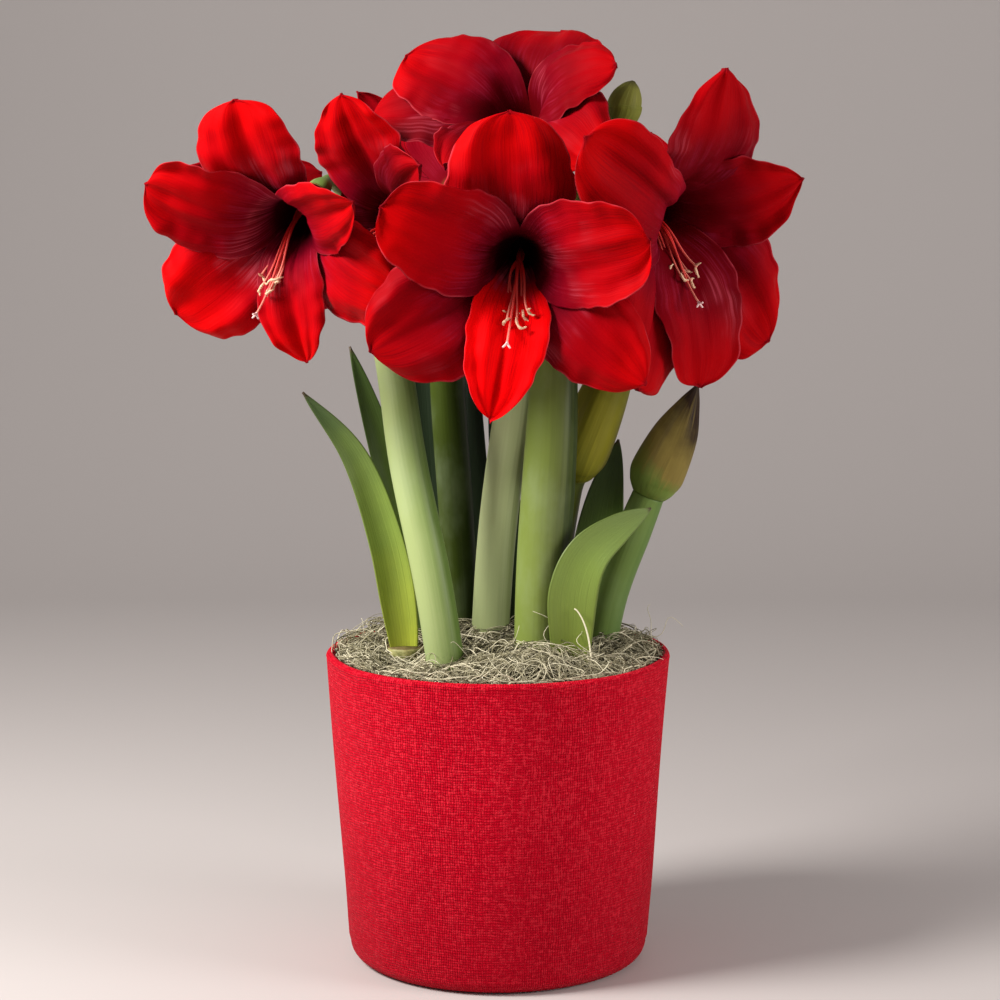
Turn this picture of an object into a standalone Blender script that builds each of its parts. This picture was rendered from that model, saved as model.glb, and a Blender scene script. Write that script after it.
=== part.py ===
"""A potted amaryllis in full flower.

Eight red blooms and three buds stand on six stalks, which rise with strap leaves out
of three bulbs.  The bulbs sit in a plain plastic pot, dressed in a woven red cover,
under a mat of dry moss.  Metres, +Z up, the origin under the middle of the pot.
"""
import math
from collections import namedtuple

import bmesh
import bpy
import numpy as np
from mathutils import Matrix

# Driving dimensions.
GAP = 0.0003                # clearance between touching pieces

POT_HEIGHT = 0.186
RIM_RADIUS = 0.1025         # outside of the cover at the rim
BASE_RADIUS = 0.0892        # the same taper carried down to the floor
COVER_THICKNESS = 0.0012
SHELL_THICKNESS = 0.0025
CORNER_RADIUS = 0.010       # where the pot's side turns under
FOOT_RADIUS = 0.072
FOOT_HEIGHT = 0.0018
FOLD_BOTTOM = 0.170         # how far down inside the rim the cover is folded
SHELL_FLOOR = 0.0050        # height of the shell's inner floor
POT_SIDES = 24

SOIL_TOP = 0.1690
MOSS_EDGE = 0.1815          # moss height at the rim
MOSS_MIDDLE = 0.1900
STALK_FOOT = 0.156          # depth that stalks and leaves reach down to

BULB_RADIUS = 0.034
BULB_CENTRE = 0.124
BULB_NECK = 0.012
BULB_SIDES = 8

TEPAL_THICKNESS = 0.0010
TUBE_RADIUS = 0.0055        # of the perianth tube where the tepals start
TUBE_LEAN = 15.0            # degrees that the tube widens by
RECEPTACLE_RADIUS = 0.0088
RECEPTACLE_BOTTOM = -0.0010
RECEPTACLE_TOP = 0.0040
OVARY_LENGTH = 0.018
OVARY_RADIUS = 0.0068
PEDICEL_RADIUS = 0.0040
LEAF_THICKNESS = 0.0016

FILAMENT_RADIUS = 0.0007
ANTHER_RADIUS = 0.0016
# Each filament, and last the style: how far it reaches out, sags and stands aside.
STAMENS = ((0.052, 0.024, -0.011), (0.060, 0.027, -0.006), (0.054, 0.030, -0.002),
           (0.062, 0.029, 0.003), (0.055, 0.026, 0.008), (0.059, 0.022, 0.012),
           (0.074, 0.037, -0.004))

# The blooms.
# A bloom stands at base and faces turn degrees to the right of the front and lift
# degrees up, rolled about its own axis.  Its stamens sag by sag times the usual and
# reach out by reach times the usual.
Bloom = namedtuple("Bloom", "base turn lift roll tepals sag reach", defaults=(1.0, 1.0))

# A tepal points direction degrees round the bloom's axis (0 right, 90 up).  It opens
# to opening degrees from the axis and its tip curls on by curl.  sweep bends it
# sideways, as a share of its length.
Tepal = namedtuple("Tepal", "direction length width opening curl sweep", defaults=(0,))

# Places along and across a tepal where its solid has corners; the blooms that stand
# behind the others have fewer.
FINE_ROWS = (0.0, 0.22, 0.42, 0.60, 0.77, 0.91, 1.0)
FINE_COLUMNS = (-1.0, -0.5, 0.0, 0.5, 1.0)
COARSE_ROWS = (0.0, 0.30, 0.55, 0.78, 0.93, 1.0)
COARSE_COLUMNS = (-1.0, -0.4, 0.4, 1.0)
HALF_HIDDEN = ("bloom_middle_left", "bloom_back_left", "bloom_back", "bloom_back_right")

WHORLS = ("outer", "inner", "outer", "inner", "outer", "inner")

REGULAR = (
    Tepal(90, 0.110, 0.064, 80, 25),
    Tepal(150, 0.105, 0.056, 70, 25),
    Tepal(210, 0.110, 0.064, 80, 25),
    Tepal(270, 0.090, 0.044, 70, 25),
    Tepal(330, 0.110, 0.064, 80, 25),
    Tepal(30, 0.105, 0.056, 70, 25),
)

BLOOMS = {
    "front": Bloom((0.013, -0.062, 0.429), -3, -9, -3, (
        Tepal(95, 0.125, 0.078, 85, 25),
        Tepal(155, 0.120, 0.064, 70, 25),
        Tepal(212, 0.134, 0.074, 80, 25),
        Tepal(263, 0.119, 0.044, 75, 25),
        Tepal(327, 0.135, 0.060, 75, 15, -0.05),
        Tepal(20, 0.120, 0.064, 60, 25),
    ), 1.00),
    "left": Bloom((-0.106, -0.025, 0.456), -20, -22, 3, (
        Tepal(94, 0.120, 0.072, 85, 25),
        Tepal(148, 0.109, 0.062, 75, 30),
        Tepal(211, 0.119, 0.070, 75, 20),
        Tepal(277, 0.106, 0.042, 70, 20),
        Tepal(336, 0.120, 0.068, 65, 30),
        Tepal(25, 0.110, 0.046, 65, 15),
    ), 1.10),
    "right": Bloom((0.071, -0.030, 0.458), 38, -17, 4, (
        Tepal(92, 0.140, 0.074, 80, 30),
        Tepal(146, 0.152, 0.080, 100, 20),
        Tepal(226, 0.140, 0.066, 65, 15, 0.15),
        Tepal(270, 0.130, 0.064, 65, 25),
        Tepal(322, 0.130, 0.068, 75, 10, -0.15),
        Tepal(25, 0.107, 0.060, 60, 30),
    ), 0.85),
    "middle_left": Bloom((-0.046, 0.008, 0.439), -32, 7, 0, (
        Tepal(97, 0.106, 0.064, 55, 10),
        Tepal(155, 0.046, 0.036, 75, 25),
        Tepal(215, 0.090, 0.060, 90, 30),
        Tepal(272, 0.090, 0.044, 60, 25),
        Tepal(330, 0.110, 0.062, 80, 25),
        Tepal(25, 0.105, 0.058, 50, 20),
    ), 1.00),
    "top": Bloom((0.025, -0.005, 0.475), -28, 42, -9, (
        Tepal(96, 0.100, 0.092, 95, 30),
        Tepal(168, 0.104, 0.068, 78, 10, 0.05),
        Tepal(203, 0.125, 0.066, 90, 25, -0.08),
        Tepal(270, 0.100, 0.044, 65, 25),
        Tepal(330, 0.125, 0.068, 90, 25, 0.05),
        Tepal(25, 0.100, 0.062, 70, 25, -0.05),
    ), 0.45, 0.62),
    "back_right": Bloom((0.056, 0.048, 0.424), 145, -8, 0, REGULAR),
    "back_left": Bloom((-0.096, 0.048, 0.440), -130, -8, 0, REGULAR),
    "back": Bloom((-0.022, 0.082, 0.452), -172, 2, 0,
                  (*REGULAR[:5], Tepal(47, 0.122, 0.030, 72, 40))),
}

# Stalks, buds and leaves.
# Each stalk is a list of points up its middle with the radius there; its umbel
# carries the blooms named, each on a pedicel, and a thin stem where one is given.
Stalk = namedtuple("Stalk", "points radii blooms thin_stem", defaults=((), ()))

# The young bud at the top stands on a thin stem that rises from the middle umbel.
YOUNG_BUD_STEM = ((0.021, 0.024, 0.418), (0.030, 0.032, 0.445), (0.054, 0.040, 0.462),
                  (0.068, 0.036, 0.490))
YOUNG_BUD_STEM_RADIUS = 0.0028

STALKS = {
    "left": Stalk(
        ((-0.0265, -0.041, STALK_FOOT), (-0.0375, -0.036, 0.230), (-0.0525, -0.018, 0.300),
         (-0.063, 0.000, 0.365), (-0.078, 0.018, 0.412)),
        (0.0110, 0.0112, 0.0112, 0.0105, 0.0090),
        ("left", "middle_left", "back_left")),
    "back": Stalk(
        ((-0.020, 0.040, STALK_FOOT), (-0.025, 0.045, 0.250), (-0.031, 0.050, 0.340),
         (-0.033, 0.052, 0.412)),
        (0.0100, 0.0105, 0.0105, 0.0090),
        ("back",)),
    "middle": Stalk(
        ((-0.007, 0.018, STALK_FOOT), (-0.001, 0.020, 0.250), (0.009, 0.021, 0.330),
         (0.021, 0.024, 0.420)),
        (0.0112, 0.0115, 0.0112, 0.0090),
        ("top", "back_right"), YOUNG_BUD_STEM),
    "front": Stalk(
        ((0.023, -0.031, STALK_FOOT), (0.026, -0.031, 0.240), (0.031, -0.028, 0.320),
         (0.034, -0.020, 0.405)),
        (0.0145, 0.0155, 0.0150, 0.0110),
        ("front", "right")),
}

BUD_STALKS = {
    "hidden": Stalk(
        ((0.030, 0.046, STALK_FOOT), (0.034, 0.036, 0.220), (0.041, 0.020, 0.275),
         (0.045, 0.013, 0.291)),
        (0.0085, 0.0085, 0.0085, 0.0085)),
    "right": Stalk(
        ((0.056, 0.004, STALK_FOOT), (0.066, 0.004, 0.215), (0.081, 0.002, 0.258),
         (0.089, 0.001, 0.279)),
        (0.0100, 0.0105, 0.0100, 0.0100)),
}

# A bud runs on from its stalk to its tip; the profile is (share of length, radius).
Bud = namedtuple("Bud", "tip profile")

BUDS = {
    "hidden": Bud((0.078, 0.004, 0.378),
                  ((0.0, 0.0075), (0.18, 0.0125), (0.45, 0.0165), (0.72, 0.0135),
                   (0.90, 0.0070), (1.0, 0.0010))),
    "right": Bud((0.117, -0.006, 0.345),
                 ((0.0, 0.0095), (0.15, 0.0140), (0.40, 0.0160), (0.68, 0.0130),
                  (0.88, 0.0065), (1.0, 0.0010))),
    "young": Bud((0.080, 0.031, 0.522),
                 ((0.0, 0.0045), (0.20, 0.0085), (0.50, 0.0104), (0.78, 0.0094),
                  (0.93, 0.0055), (1.0, 0.0010))),
}

# A leaf follows its points; face is the way its upper side looks.
Leaf = namedtuple("Leaf", "points width face channel")

LEAVES = {
    "left": Leaf(((-0.055, -0.010, 0.172), (-0.058, -0.010, 0.205), (-0.067, -0.011, 0.255),
                  (-0.085, -0.013, 0.305), (-0.114, -0.016, 0.342)),
                 0.023, (0.25, -0.95, -0.15), 0.0040),
    "left_back": Leaf(((-0.040, 0.012, STALK_FOOT), (-0.047, 0.013, 0.215), (-0.060, 0.015, 0.270),
                       (-0.074, 0.016, 0.320), (-0.088, 0.016, 0.366)),
                      0.022, (0.35, -0.92, -0.10), 0.0035),
    "dark_left": Leaf(((-0.036, 0.068, STALK_FOOT), (-0.040, 0.068, 0.220), (-0.044, 0.068, 0.290),
                       (-0.047, 0.069, 0.345), (-0.049, 0.070, 0.385)),
                      0.022, (0.10, -0.99, 0.0), 0.0030),
    "dark_middle": Leaf(((-0.006, 0.062, STALK_FOOT), (-0.009, 0.064, 0.230),
                         (-0.014, 0.066, 0.290), (-0.017, 0.067, 0.345),
                         (-0.018, 0.068, 0.380)),
                        0.016, (-0.05, -0.99, 0.0), 0.0030),
    "dark_right": Leaf(((0.011, 0.045, STALK_FOOT), (0.008, 0.045, 0.230), (0.003, 0.044, 0.290),
                        (0.000, 0.043, 0.340), (-0.001, 0.043, 0.375)),
                       0.018, (0.05, -0.99, 0.0), 0.0030),
    "right_back": Leaf(((0.049, 0.030, STALK_FOOT), (0.054, 0.028, 0.200), (0.059, 0.025, 0.240),
                        (0.064, 0.022, 0.275), (0.072, 0.020, 0.310)),
                       0.034, (0.10, -0.99, 0.0), 0.0035),
    "clasping": Leaf(((0.0415, -0.047, STALK_FOOT), (0.042, -0.047, 0.200),
                      (0.0435, -0.047, 0.230), (0.0519, -0.046, 0.251),
                      (0.0689, -0.042, 0.2655), (0.0886, -0.036, 0.2766)),
                     0.030, (0.05, -0.99, 0.10), 0.0030),
}

BULBS = {
    "left": ((-0.055, -0.010), 0.188),
    "right": ((0.044, -0.012), 0.166),
    "back": ((0.000, 0.050), 0.166),
}

COLOURS = {
    "cover": ((0.55, 0.012, 0.035), 0.90),
    "shell": ((0.035, 0.030, 0.028), 0.50),
    "soil": ((0.055, 0.035, 0.022), 0.95),
    "moss": ((0.30, 0.27, 0.19), 0.95),
    "bulb": ((0.42, 0.30, 0.16), 0.70),
    "stalk": ((0.26, 0.38, 0.16), 0.45),
    "leaf": ((0.14, 0.28, 0.05), 0.42),
    "dark_leaf": ((0.04, 0.09, 0.02), 0.45),
    "bud": ((0.22, 0.16, 0.08), 0.50),
    "bloom": ((0.60, 0.005, 0.012), 0.45),
    "stamens": ((0.80, 0.45, 0.25), 0.55),
}


# Scene helpers.
def clear_scene():
    """Remove whatever objects and collections the scene holds."""
    for old in list(bpy.data.objects):
        bpy.data.objects.remove(old, do_unlink=True)
    for old in list(bpy.data.collections):
        bpy.data.collections.remove(old)


def collection(name):
    made = bpy.data.collections.new(name)
    bpy.context.scene.collection.children.link(made)
    return made


def material(key):
    """The Principled material of one kind of surface, made once."""
    found = bpy.data.materials.get(key)
    if found:
        return found
    made = bpy.data.materials.new(key)
    made.use_nodes = True
    shader = made.node_tree.nodes["Principled BSDF"]
    colour, roughness = COLOURS[key]
    shader.inputs["Base Color"].default_value = (*colour, 1.0)
    shader.inputs["Roughness"].default_value = roughness
    shader.inputs["Metallic"].default_value = 0.0
    return made


def add(name, mesh, kind, where):
    """Link a new object for the mesh, with the material of its kind."""
    made = bpy.data.objects.new(name, mesh)
    mesh.materials.clear()
    mesh.materials.append(material(kind))
    where.objects.link(made)
    return made


def settle(item):
    """Replace the object by its evaluated mesh, welded and with outward faces."""
    graph = bpy.context.evaluated_depsgraph_get()
    mesh = bpy.data.meshes.new_from_object(item.evaluated_get(graph))
    shape = bmesh.new()
    shape.from_mesh(mesh)
    bmesh.ops.remove_doubles(shape, verts=shape.verts, dist=1e-6)
    bmesh.ops.recalc_face_normals(shape, faces=shape.faces)
    shape.to_mesh(mesh)
    shape.free()
    if item.type == "MESH":
        item.modifiers.clear()
        item.data = mesh
        return item
    name, home = item.name, item.users_collection[0]
    kind = item.data.materials[0].name
    bpy.data.objects.remove(item)
    return add(name, mesh, kind, home)


def keep_main_body(item):
    """Drop loose scrap and fill sealed pockets: only the largest shell stays."""
    shape = bmesh.new()
    shape.from_mesh(item.data)
    left = set(shape.faces)
    shells = []
    while left:
        reach = [left.pop()]
        for face in reach:
            near = {other for edge in face.edges for other in edge.link_faces}
            reach.extend(near & left)
            left -= near
        shells.append(reach)
    shells.sort(key=len)
    scrap = [face for shell in shells[:-1] for face in shell]
    bmesh.ops.delete(shape, geom=scrap, context="FACES")
    shape.to_mesh(item.data)
    shape.free()


def join(name, pieces, kind, where):
    """Fuse the pieces into one body with one Boolean union."""
    first, rest = pieces[0], pieces[1:]
    joined = collection(name + " joined")
    for piece in rest:
        for home in list(piece.users_collection):
            home.objects.unlink(piece)
        joined.objects.link(piece)
    union = first.modifiers.new("union", "BOOLEAN")
    union.operation = "UNION"
    union.operand_type = "COLLECTION"
    union.collection = joined
    union.solver = "MANIFOLD"
    settle(first)
    keep_main_body(first)
    for piece in list(joined.objects):
        bpy.data.objects.remove(piece)
    bpy.data.collections.remove(joined)
    first.name = name
    return first


def cut(item, cutter_home):
    """Subtract every cutter in the collection from the item, once for all."""
    holes = item.modifiers.new("holes", "BOOLEAN")
    holes.operation = "DIFFERENCE"
    holes.operand_type = "COLLECTION"
    holes.collection = cutter_home
    holes.solver = "MANIFOLD"
    settle(item)
    keep_main_body(item)


# Shapes.
def smoothstep(x, low, high):
    t = np.clip((x - low) / (high - low), 0.0, 1.0)
    return t * t * (3.0 - 2.0 * t)


def smooth_path(points, count):
    """Catmull-Rom curve through the points, sampled count times end to end."""
    pts = np.asarray(points, float)
    ends = np.vstack([2 * pts[0] - pts[1], pts, 2 * pts[-1] - pts[-2]])
    places = np.linspace(0, len(pts) - 1, count)
    span = np.minimum(places.astype(int), len(pts) - 2)
    u = (places - span)[:, None]
    a, b, c, d = (ends[span + k] for k in range(4))
    return 0.5 * (2 * b + (c - a) * u + (2 * a - 5 * b + 4 * c - d) * u ** 2
                  + (3 * b - a - 3 * c + d) * u ** 3)


def lathe(name, profile, sides, kind, where, closed=False):
    """Turn a (radius, height) profile about Z."""
    count = len(profile)
    edges = [(i, i + 1) for i in range(count - 1)]
    if closed:
        edges.append((count - 1, 0))
    mesh = bpy.data.meshes.new(name)
    mesh.from_pydata([(r, 0.0, z) for r, z in profile], edges, [])
    made = add(name, mesh, kind, where)
    screw = made.modifiers.new("turn", "SCREW")
    screw.steps = screw.render_steps = sides
    screw.use_merge_vertices = True
    screw.merge_threshold = 1e-5
    return settle(made)


def tube(name, points, radii, kind, where, detail=2):
    """A round stem with filled caps along the points; it has 4 + 2 * detail sides."""
    curve = bpy.data.curves.new(name, "CURVE")
    curve.dimensions = "3D"
    curve.bevel_depth = 0.01
    curve.bevel_resolution = detail
    curve.use_fill_caps = True
    spline = curve.splines.new("POLY")
    spline.points.add(len(points) - 1)
    for point, place, radius in zip(spline.points, points, radii):
        point.co = (*place, 1.0)
        point.radius = radius / curve.bevel_depth
    curve.materials.append(material(kind))
    made = bpy.data.objects.new(name, curve)
    where.objects.link(made)
    return settle(made)


def sheet(name, grid, thickness, kind, where):
    """A thin plate on a grid of points, thickened alike to both sides."""
    rows, columns = grid.shape[:2]
    faces = []
    for i in range(rows - 1):
        for j in range(columns - 1):
            a = i * columns + j
            b, c, d = a + 1, a + columns + 1, a + columns
            faces += [(a, b, c), (a, c, d)] if j < columns // 2 else [(a, b, d), (b, c, d)]
    mesh = bpy.data.meshes.new(name)
    mesh.from_pydata(grid.reshape(-1, 3).tolist(), [], faces)
    made = add(name, mesh, kind, where)
    solid = made.modifiers.new("thickness", "SOLIDIFY")
    solid.thickness = thickness
    solid.offset = 0.0
    return settle(made)


# Blooms.
def bloom_frame(bloom):
    """Rows are the bloom's right, its up and its axis, in world directions."""
    turn, lift, roll = (math.radians(a) for a in (bloom.turn, bloom.lift, bloom.roll))
    axis = np.array([math.sin(turn) * math.cos(lift), -math.cos(turn) * math.cos(lift),
                     math.sin(lift)])
    up = np.array([0.0, 0.0, 1.0]) - axis[2] * axis
    up /= np.linalg.norm(up)
    right = np.cross(up, axis)
    return np.array([math.cos(roll) * right + math.sin(roll) * up,
                     math.cos(roll) * up - math.sin(roll) * right, axis])


def tepal_surface(tepal, whorl, s, t):
    """Middle surface of a tepal, in the bloom's frame.

    s runs 0..1 from the tube to the tip and t runs -1..1 across.  The midrib leaves
    the tube at TUBE_LEAN from the axis, opens to its full angle by 0.8 of its length
    and curls on past 0.6.  Across, the blade is an arc about the bloom's axis in the
    tube and flattens to a shallow trough beyond.  The inner whorl lies in front.
    """
    along = np.linspace(0.0, 1.0, 81)
    angle = np.radians(TUBE_LEAN + (tepal.opening - TUBE_LEAN) * smoothstep(along, 0.22, 0.80)
                       + tepal.curl * np.clip((along - 0.6) / 0.4, 0, 1) ** 2)

    def run(slope):
        """Length travelled up to each place, for a slope along the midrib."""
        steps = (slope[1:] + slope[:-1]) / 2 * tepal.length / (len(along) - 1)
        return np.concatenate([[0.0], np.cumsum(steps)])

    lean = np.interp(s, along, angle)
    radius = np.interp(s, along, TUBE_RADIUS + run(np.sin(angle)))
    height = np.interp(s, along, run(np.cos(angle)))

    widest = 0.62 if tepal.width < 0.05 else 0.58
    rise = 0.16 + 0.84 * np.sin(np.pi / 2 * np.clip(s / widest, 0, 1)) ** 1.25
    fall = np.clip(1 - np.clip((s - widest) / (1 - widest), 0, 1) ** 2.2, 0, 1) ** 0.65
    half = tepal.width / 2 * np.maximum(np.where(s < widest, rise, fall), 0.03)
    room = 0.95 * radius
    half = half * room / (half ** 4 + room ** 4) ** 0.25

    tube_share = 1 - smoothstep(s, 0.30, 0.62)
    bend = tube_share / radius + (1 - tube_share) * 2.2
    across = np.sin(bend * half * t) / bend
    trough = (1 - np.cos(bend * half * t)) / bend

    edge = smoothstep(s, 0.38, 0.62) * (1 - 0.5 * smoothstep(s, 0.85, 1.0)) * np.abs(t) ** 1.7
    phase = tepal.direction * 0.05 + np.where(t > 0, 0.0, 1.9)
    wave = 0.0022 * edge * np.sin(2 * np.pi * 2.2 * s + phase)
    groove = 0.0016 * np.exp(-(t / 0.18) ** 2) * smoothstep(s, 0.25, 0.5)
    groove = groove * (1 - smoothstep(s, 0.85, 1.0))
    step = 0.0010 + 0.0026 * smoothstep(s, 0.25, 0.60)
    raised = trough + wave - groove + (step if whorl == "inner" else -step)
    across = across + tepal.sweep * tepal.length * smoothstep(s, 0.3, 1.15) * s

    way = math.radians(tepal.direction)
    outward = np.array([math.cos(way), math.sin(way), 0.0])
    side = np.array([-math.sin(way), math.cos(way), 0.0])
    axis = np.array([0.0, 0.0, 1.0])
    inner_side = -np.cos(lean)[..., None] * outward + np.sin(lean)[..., None] * axis
    return (radius[..., None] * outward + height[..., None] * axis
            + across[..., None] * side + raised[..., None] * inner_side)


def bloom_body(name, bloom, where):
    """The six tepals fused into the receptacle that they grow from."""
    frame, base = bloom_frame(bloom), np.array(bloom.base)
    coarse = name in HALF_HIDDEN
    s, t = np.meshgrid(COARSE_ROWS if coarse else FINE_ROWS,
                       COARSE_COLUMNS if coarse else FINE_COLUMNS, indexing="ij")
    ends = [base + frame[2] * h for h in (RECEPTACLE_BOTTOM, RECEPTACLE_TOP)]
    pieces = [tube(name, ends, (RECEPTACLE_RADIUS,) * 2, "bloom", where, detail=3)]
    for tepal, whorl in zip(bloom.tepals, WHORLS):
        grid = tepal_surface(tepal, whorl, s, t) @ frame + base
        pieces.append(sheet("tepal", grid, TEPAL_THICKNESS, "bloom", where))
    return join(name, pieces, "bloom", where)


def filament_path(reach, drop, spread):
    """Points of a filament in the bloom's frame: out, sagging, its end turned up."""
    t = np.array([0.0, 0.5, 0.92, 1.0])
    down = drop * t ** 2.3 - 0.25 * drop * np.clip((t - 0.7) / 0.3, 0, 1) ** 2
    return np.stack([spread * t ** 1.3, -down, RECEPTACLE_TOP + GAP + 0.001 + reach * t], -1)


def stamen_cluster(name, bloom, where):
    """Six filaments with anthers and the longer style, on one small disc."""
    frame, base = bloom_frame(bloom), np.array(bloom.base)
    ends = [base + frame[2] * h for h in (RECEPTACLE_TOP + GAP, RECEPTACLE_TOP + GAP + 0.002)]
    pieces = [tube(name, ends, (0.0028, 0.0028), "stamens", where, detail=1)]
    thin, anther = FILAMENT_RADIUS, ANTHER_RADIUS
    for reach, drop, aside in STAMENS:
        path = filament_path(reach * bloom.reach, drop * bloom.sag, aside) @ frame + base
        widths = (thin, thin, anther, thin)
        pieces.append(tube("filament", path, widths, "stamens", where, detail=0))
    return join(name, pieces, "stamens", where)


# Stalks, buds, leaves.
def stalk_points(stalk, count=6):
    """Points and radii up a stalk."""
    points = smooth_path(stalk.points, count)
    radii = smooth_path([(r,) for r in stalk.radii], count)[:, 0]
    return points, radii


def pedicel(bloom, umbel, where):
    """The short stem from the umbel to a bloom, swelling into the green ovary."""
    axis, base = bloom_frame(bloom)[2], np.array(bloom.base)
    ovary_top = base + axis * (RECEPTACLE_BOTTOM - GAP)
    ovary_foot = ovary_top - axis * OVARY_LENGTH
    start = umbel - np.array([0.0, 0.0, 0.006])
    leave = start + np.array([0.0, 0.0, 0.4]) * np.linalg.norm(ovary_foot - start)
    arrive = ovary_foot - axis * 0.3 * np.linalg.norm(ovary_foot - start)
    u = np.linspace(0.0, 1.0, 6)[:, None]
    bend = (start * (1 - u) ** 3 + leave * 3 * u * (1 - u) ** 2
            + arrive * 3 * u ** 2 * (1 - u) + ovary_foot * u ** 3)
    swell = [ovary_foot + (ovary_top - ovary_foot) * share for share in (0.3, 0.65, 1.0)]
    radii = [PEDICEL_RADIUS] * 6 + [OVARY_RADIUS, OVARY_RADIUS, OVARY_RADIUS * 0.85]
    return tube("pedicel", [*bend, *swell], radii, "stalk", where, detail=1)


def flower_stalk(name, stalk, where):
    """A stalk with its umbel and the pedicels fused to it."""
    points, radii = stalk_points(stalk)
    top = points[-1] + np.array([0.0, 0.0, 0.004])
    pieces = [tube(name, [*points, top], [*radii, radii[-1] * 0.6], "stalk", where)]
    for key in stalk.blooms:
        pieces.append(pedicel(BLOOMS[key], top, where))
    if stalk.thin_stem:
        stem = smooth_path(stalk.thin_stem, 6)
        radii = [YOUNG_BUD_STEM_RADIUS] * 6
        pieces.append(tube("thin stem", stem, radii, "stalk", where, detail=1))
    return join(name, pieces, "stalk", where)


def bud_stalk(name, stalk, where):
    """A stalk that ends flat, where its bud stands on it."""
    points, radii = stalk_points(stalk)
    return tube(name, points, radii, "stalk", where)


def bud_body(name, stem, bud, where):
    """A closed bud, its flat foot just clear of its stem's flat top."""
    points = smooth_path(stem, 6)
    way = points[-1] - points[-2]
    way /= np.linalg.norm(way)
    foot = points[-1] + way * GAP
    tip = np.array(bud.tip)
    start = foot + way * 0.004
    path = [foot, *smooth_path([start, start + way * 0.012, foot + (tip - foot) * 0.6, tip], 7)]
    radii = np.interp(np.linspace(0.0, 1.0, 8), *zip(*bud.profile))
    return tube(name, path, radii, "bud", where, detail=3)


def leaf_grid(leaf, rows=6, columns=5, grow=0.0):
    """Points of a strap leaf: widest at a third, pointed, a channel along it."""
    path = smooth_path(leaf.points, rows)
    s = np.linspace(0.0, 1.0, rows)
    along = np.gradient(path, axis=0)
    along /= np.linalg.norm(along, axis=1)[:, None]
    side = np.cross(along, np.array(leaf.face))
    side /= np.linalg.norm(side, axis=1)[:, None]
    normal = np.cross(side, along)
    half = leaf.width / 2 * (0.62 + 0.38 * smoothstep(s, 0.0, 0.4)) * (1 - s ** 3.2) ** 0.8
    half = np.maximum(half, 0.0012) + grow
    t = np.linspace(-1.0, 1.0, columns)
    lift = leaf.channel * (t ** 2)[None, :] * (half / (leaf.width / 2))[:, None]
    return (path[:, None] + (half[:, None] * t)[..., None] * side[:, None]
            + lift[..., None] * normal[:, None])


def leaf_blade(name, leaf, where):
    kind = "dark_leaf" if name.startswith("leaf_dark") else "leaf"
    return sheet(name, leaf_grid(leaf), LEAF_THICKNESS, kind, where)


def stem_cutters(where):
    """The feet of all stalks and leaves, grown by the gap, for plain holes."""
    depth = np.array([0.0, 0.0, -GAP])
    for stalk in (*STALKS.values(), *BUD_STALKS.values()):
        points, radii = stalk_points(stalk)
        foot = [points[0] + depth, *points[1:3]]
        tube("stalk hole", foot, radii[:3] + GAP, "stalk", where)
    for leaf in LEAVES.values():
        grid = leaf_grid(leaf, grow=GAP)[:3]
        grid[0] += depth
        sheet("leaf hole", grid, LEAF_THICKNESS + 2 * GAP, "leaf", where)


# Pot, soil, moss, bulbs.
def pot_radius(z):
    """Outside of the cover at height z."""
    return BASE_RADIUS + (RIM_RADIUS - BASE_RADIUS) * z / POT_HEIGHT


def corner(inset, count=4):
    """The pot's rounded lower corner, inset from the cover's outside, going down."""
    centre_r, centre_z = BASE_RADIUS - CORNER_RADIUS, CORNER_RADIUS + GAP
    radius = CORNER_RADIUS - inset
    angles = np.linspace(0.0, math.pi / 2, count)
    return [(centre_r + radius * math.cos(a), centre_z - radius * math.sin(a)) for a in angles]


def pot_shell(where):
    """The plastic pot: a tapered cup with a flat foot under it."""
    inset = COVER_THICKNESS + GAP
    rim = POT_HEIGHT - inset
    inner = inset + SHELL_THICKNESS
    profile = [(0.0, SHELL_FLOOR), (BASE_RADIUS - CORNER_RADIUS, SHELL_FLOOR),
               (pot_radius(0.012) - inner, 0.012), (pot_radius(rim) - inner, rim),
               (pot_radius(rim) - inset, rim)]
    profile += corner(inset)
    profile += [(FOOT_RADIUS, FOOT_HEIGHT), (FOOT_RADIUS, 0.0), (0.0, 0.0)]
    return lathe("pot_shell", profile, POT_SIDES, "shell", where)


def pot_cover(where):
    """The woven cover: up the side, rolled over the rim and turned in under the base."""
    inside = COVER_THICKNESS + 2 * GAP + SHELL_THICKNESS
    fold = inside + COVER_THICKNESS
    rim = POT_HEIGHT
    profile = [(pot_radius(FOLD_BOTTOM) - fold, FOLD_BOTTOM),
               (pot_radius(rim) - fold, rim - 0.0006),
               (pot_radius(rim) - fold + 0.0006, rim), (pot_radius(rim) - 0.0006, rim),
               (pot_radius(rim), rim - 0.0006)]
    profile += corner(0.0)
    profile += [(FOOT_RADIUS + 0.0025, GAP), (FOOT_RADIUS + 0.0025, GAP + COVER_THICKNESS)]
    profile += corner(COVER_THICKNESS)[::-1]
    profile += [(pot_radius(rim - COVER_THICKNESS) - COVER_THICKNESS, rim - COVER_THICKNESS),
                (pot_radius(rim) - inside, rim - COVER_THICKNESS),
                (pot_radius(FOLD_BOTTOM) - inside, FOLD_BOTTOM)]
    return lathe("pot_cover", profile, POT_SIDES, "cover", where, closed=True)


def soil_body(where):
    """Potting soil that fills the shell up to just under the cover's fold."""
    inner = COVER_THICKNESS + 2 * GAP + SHELL_THICKNESS
    low = SHELL_FLOOR + GAP
    profile = [(0.0, SOIL_TOP), (pot_radius(SOIL_TOP) - inner, SOIL_TOP),
               (pot_radius(0.012) - inner, 0.012 + GAP),
               (BASE_RADIUS - CORNER_RADIUS - GAP, low), (0.0, low)]
    return lathe("soil", profile, POT_SIDES, "soil", where)


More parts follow.
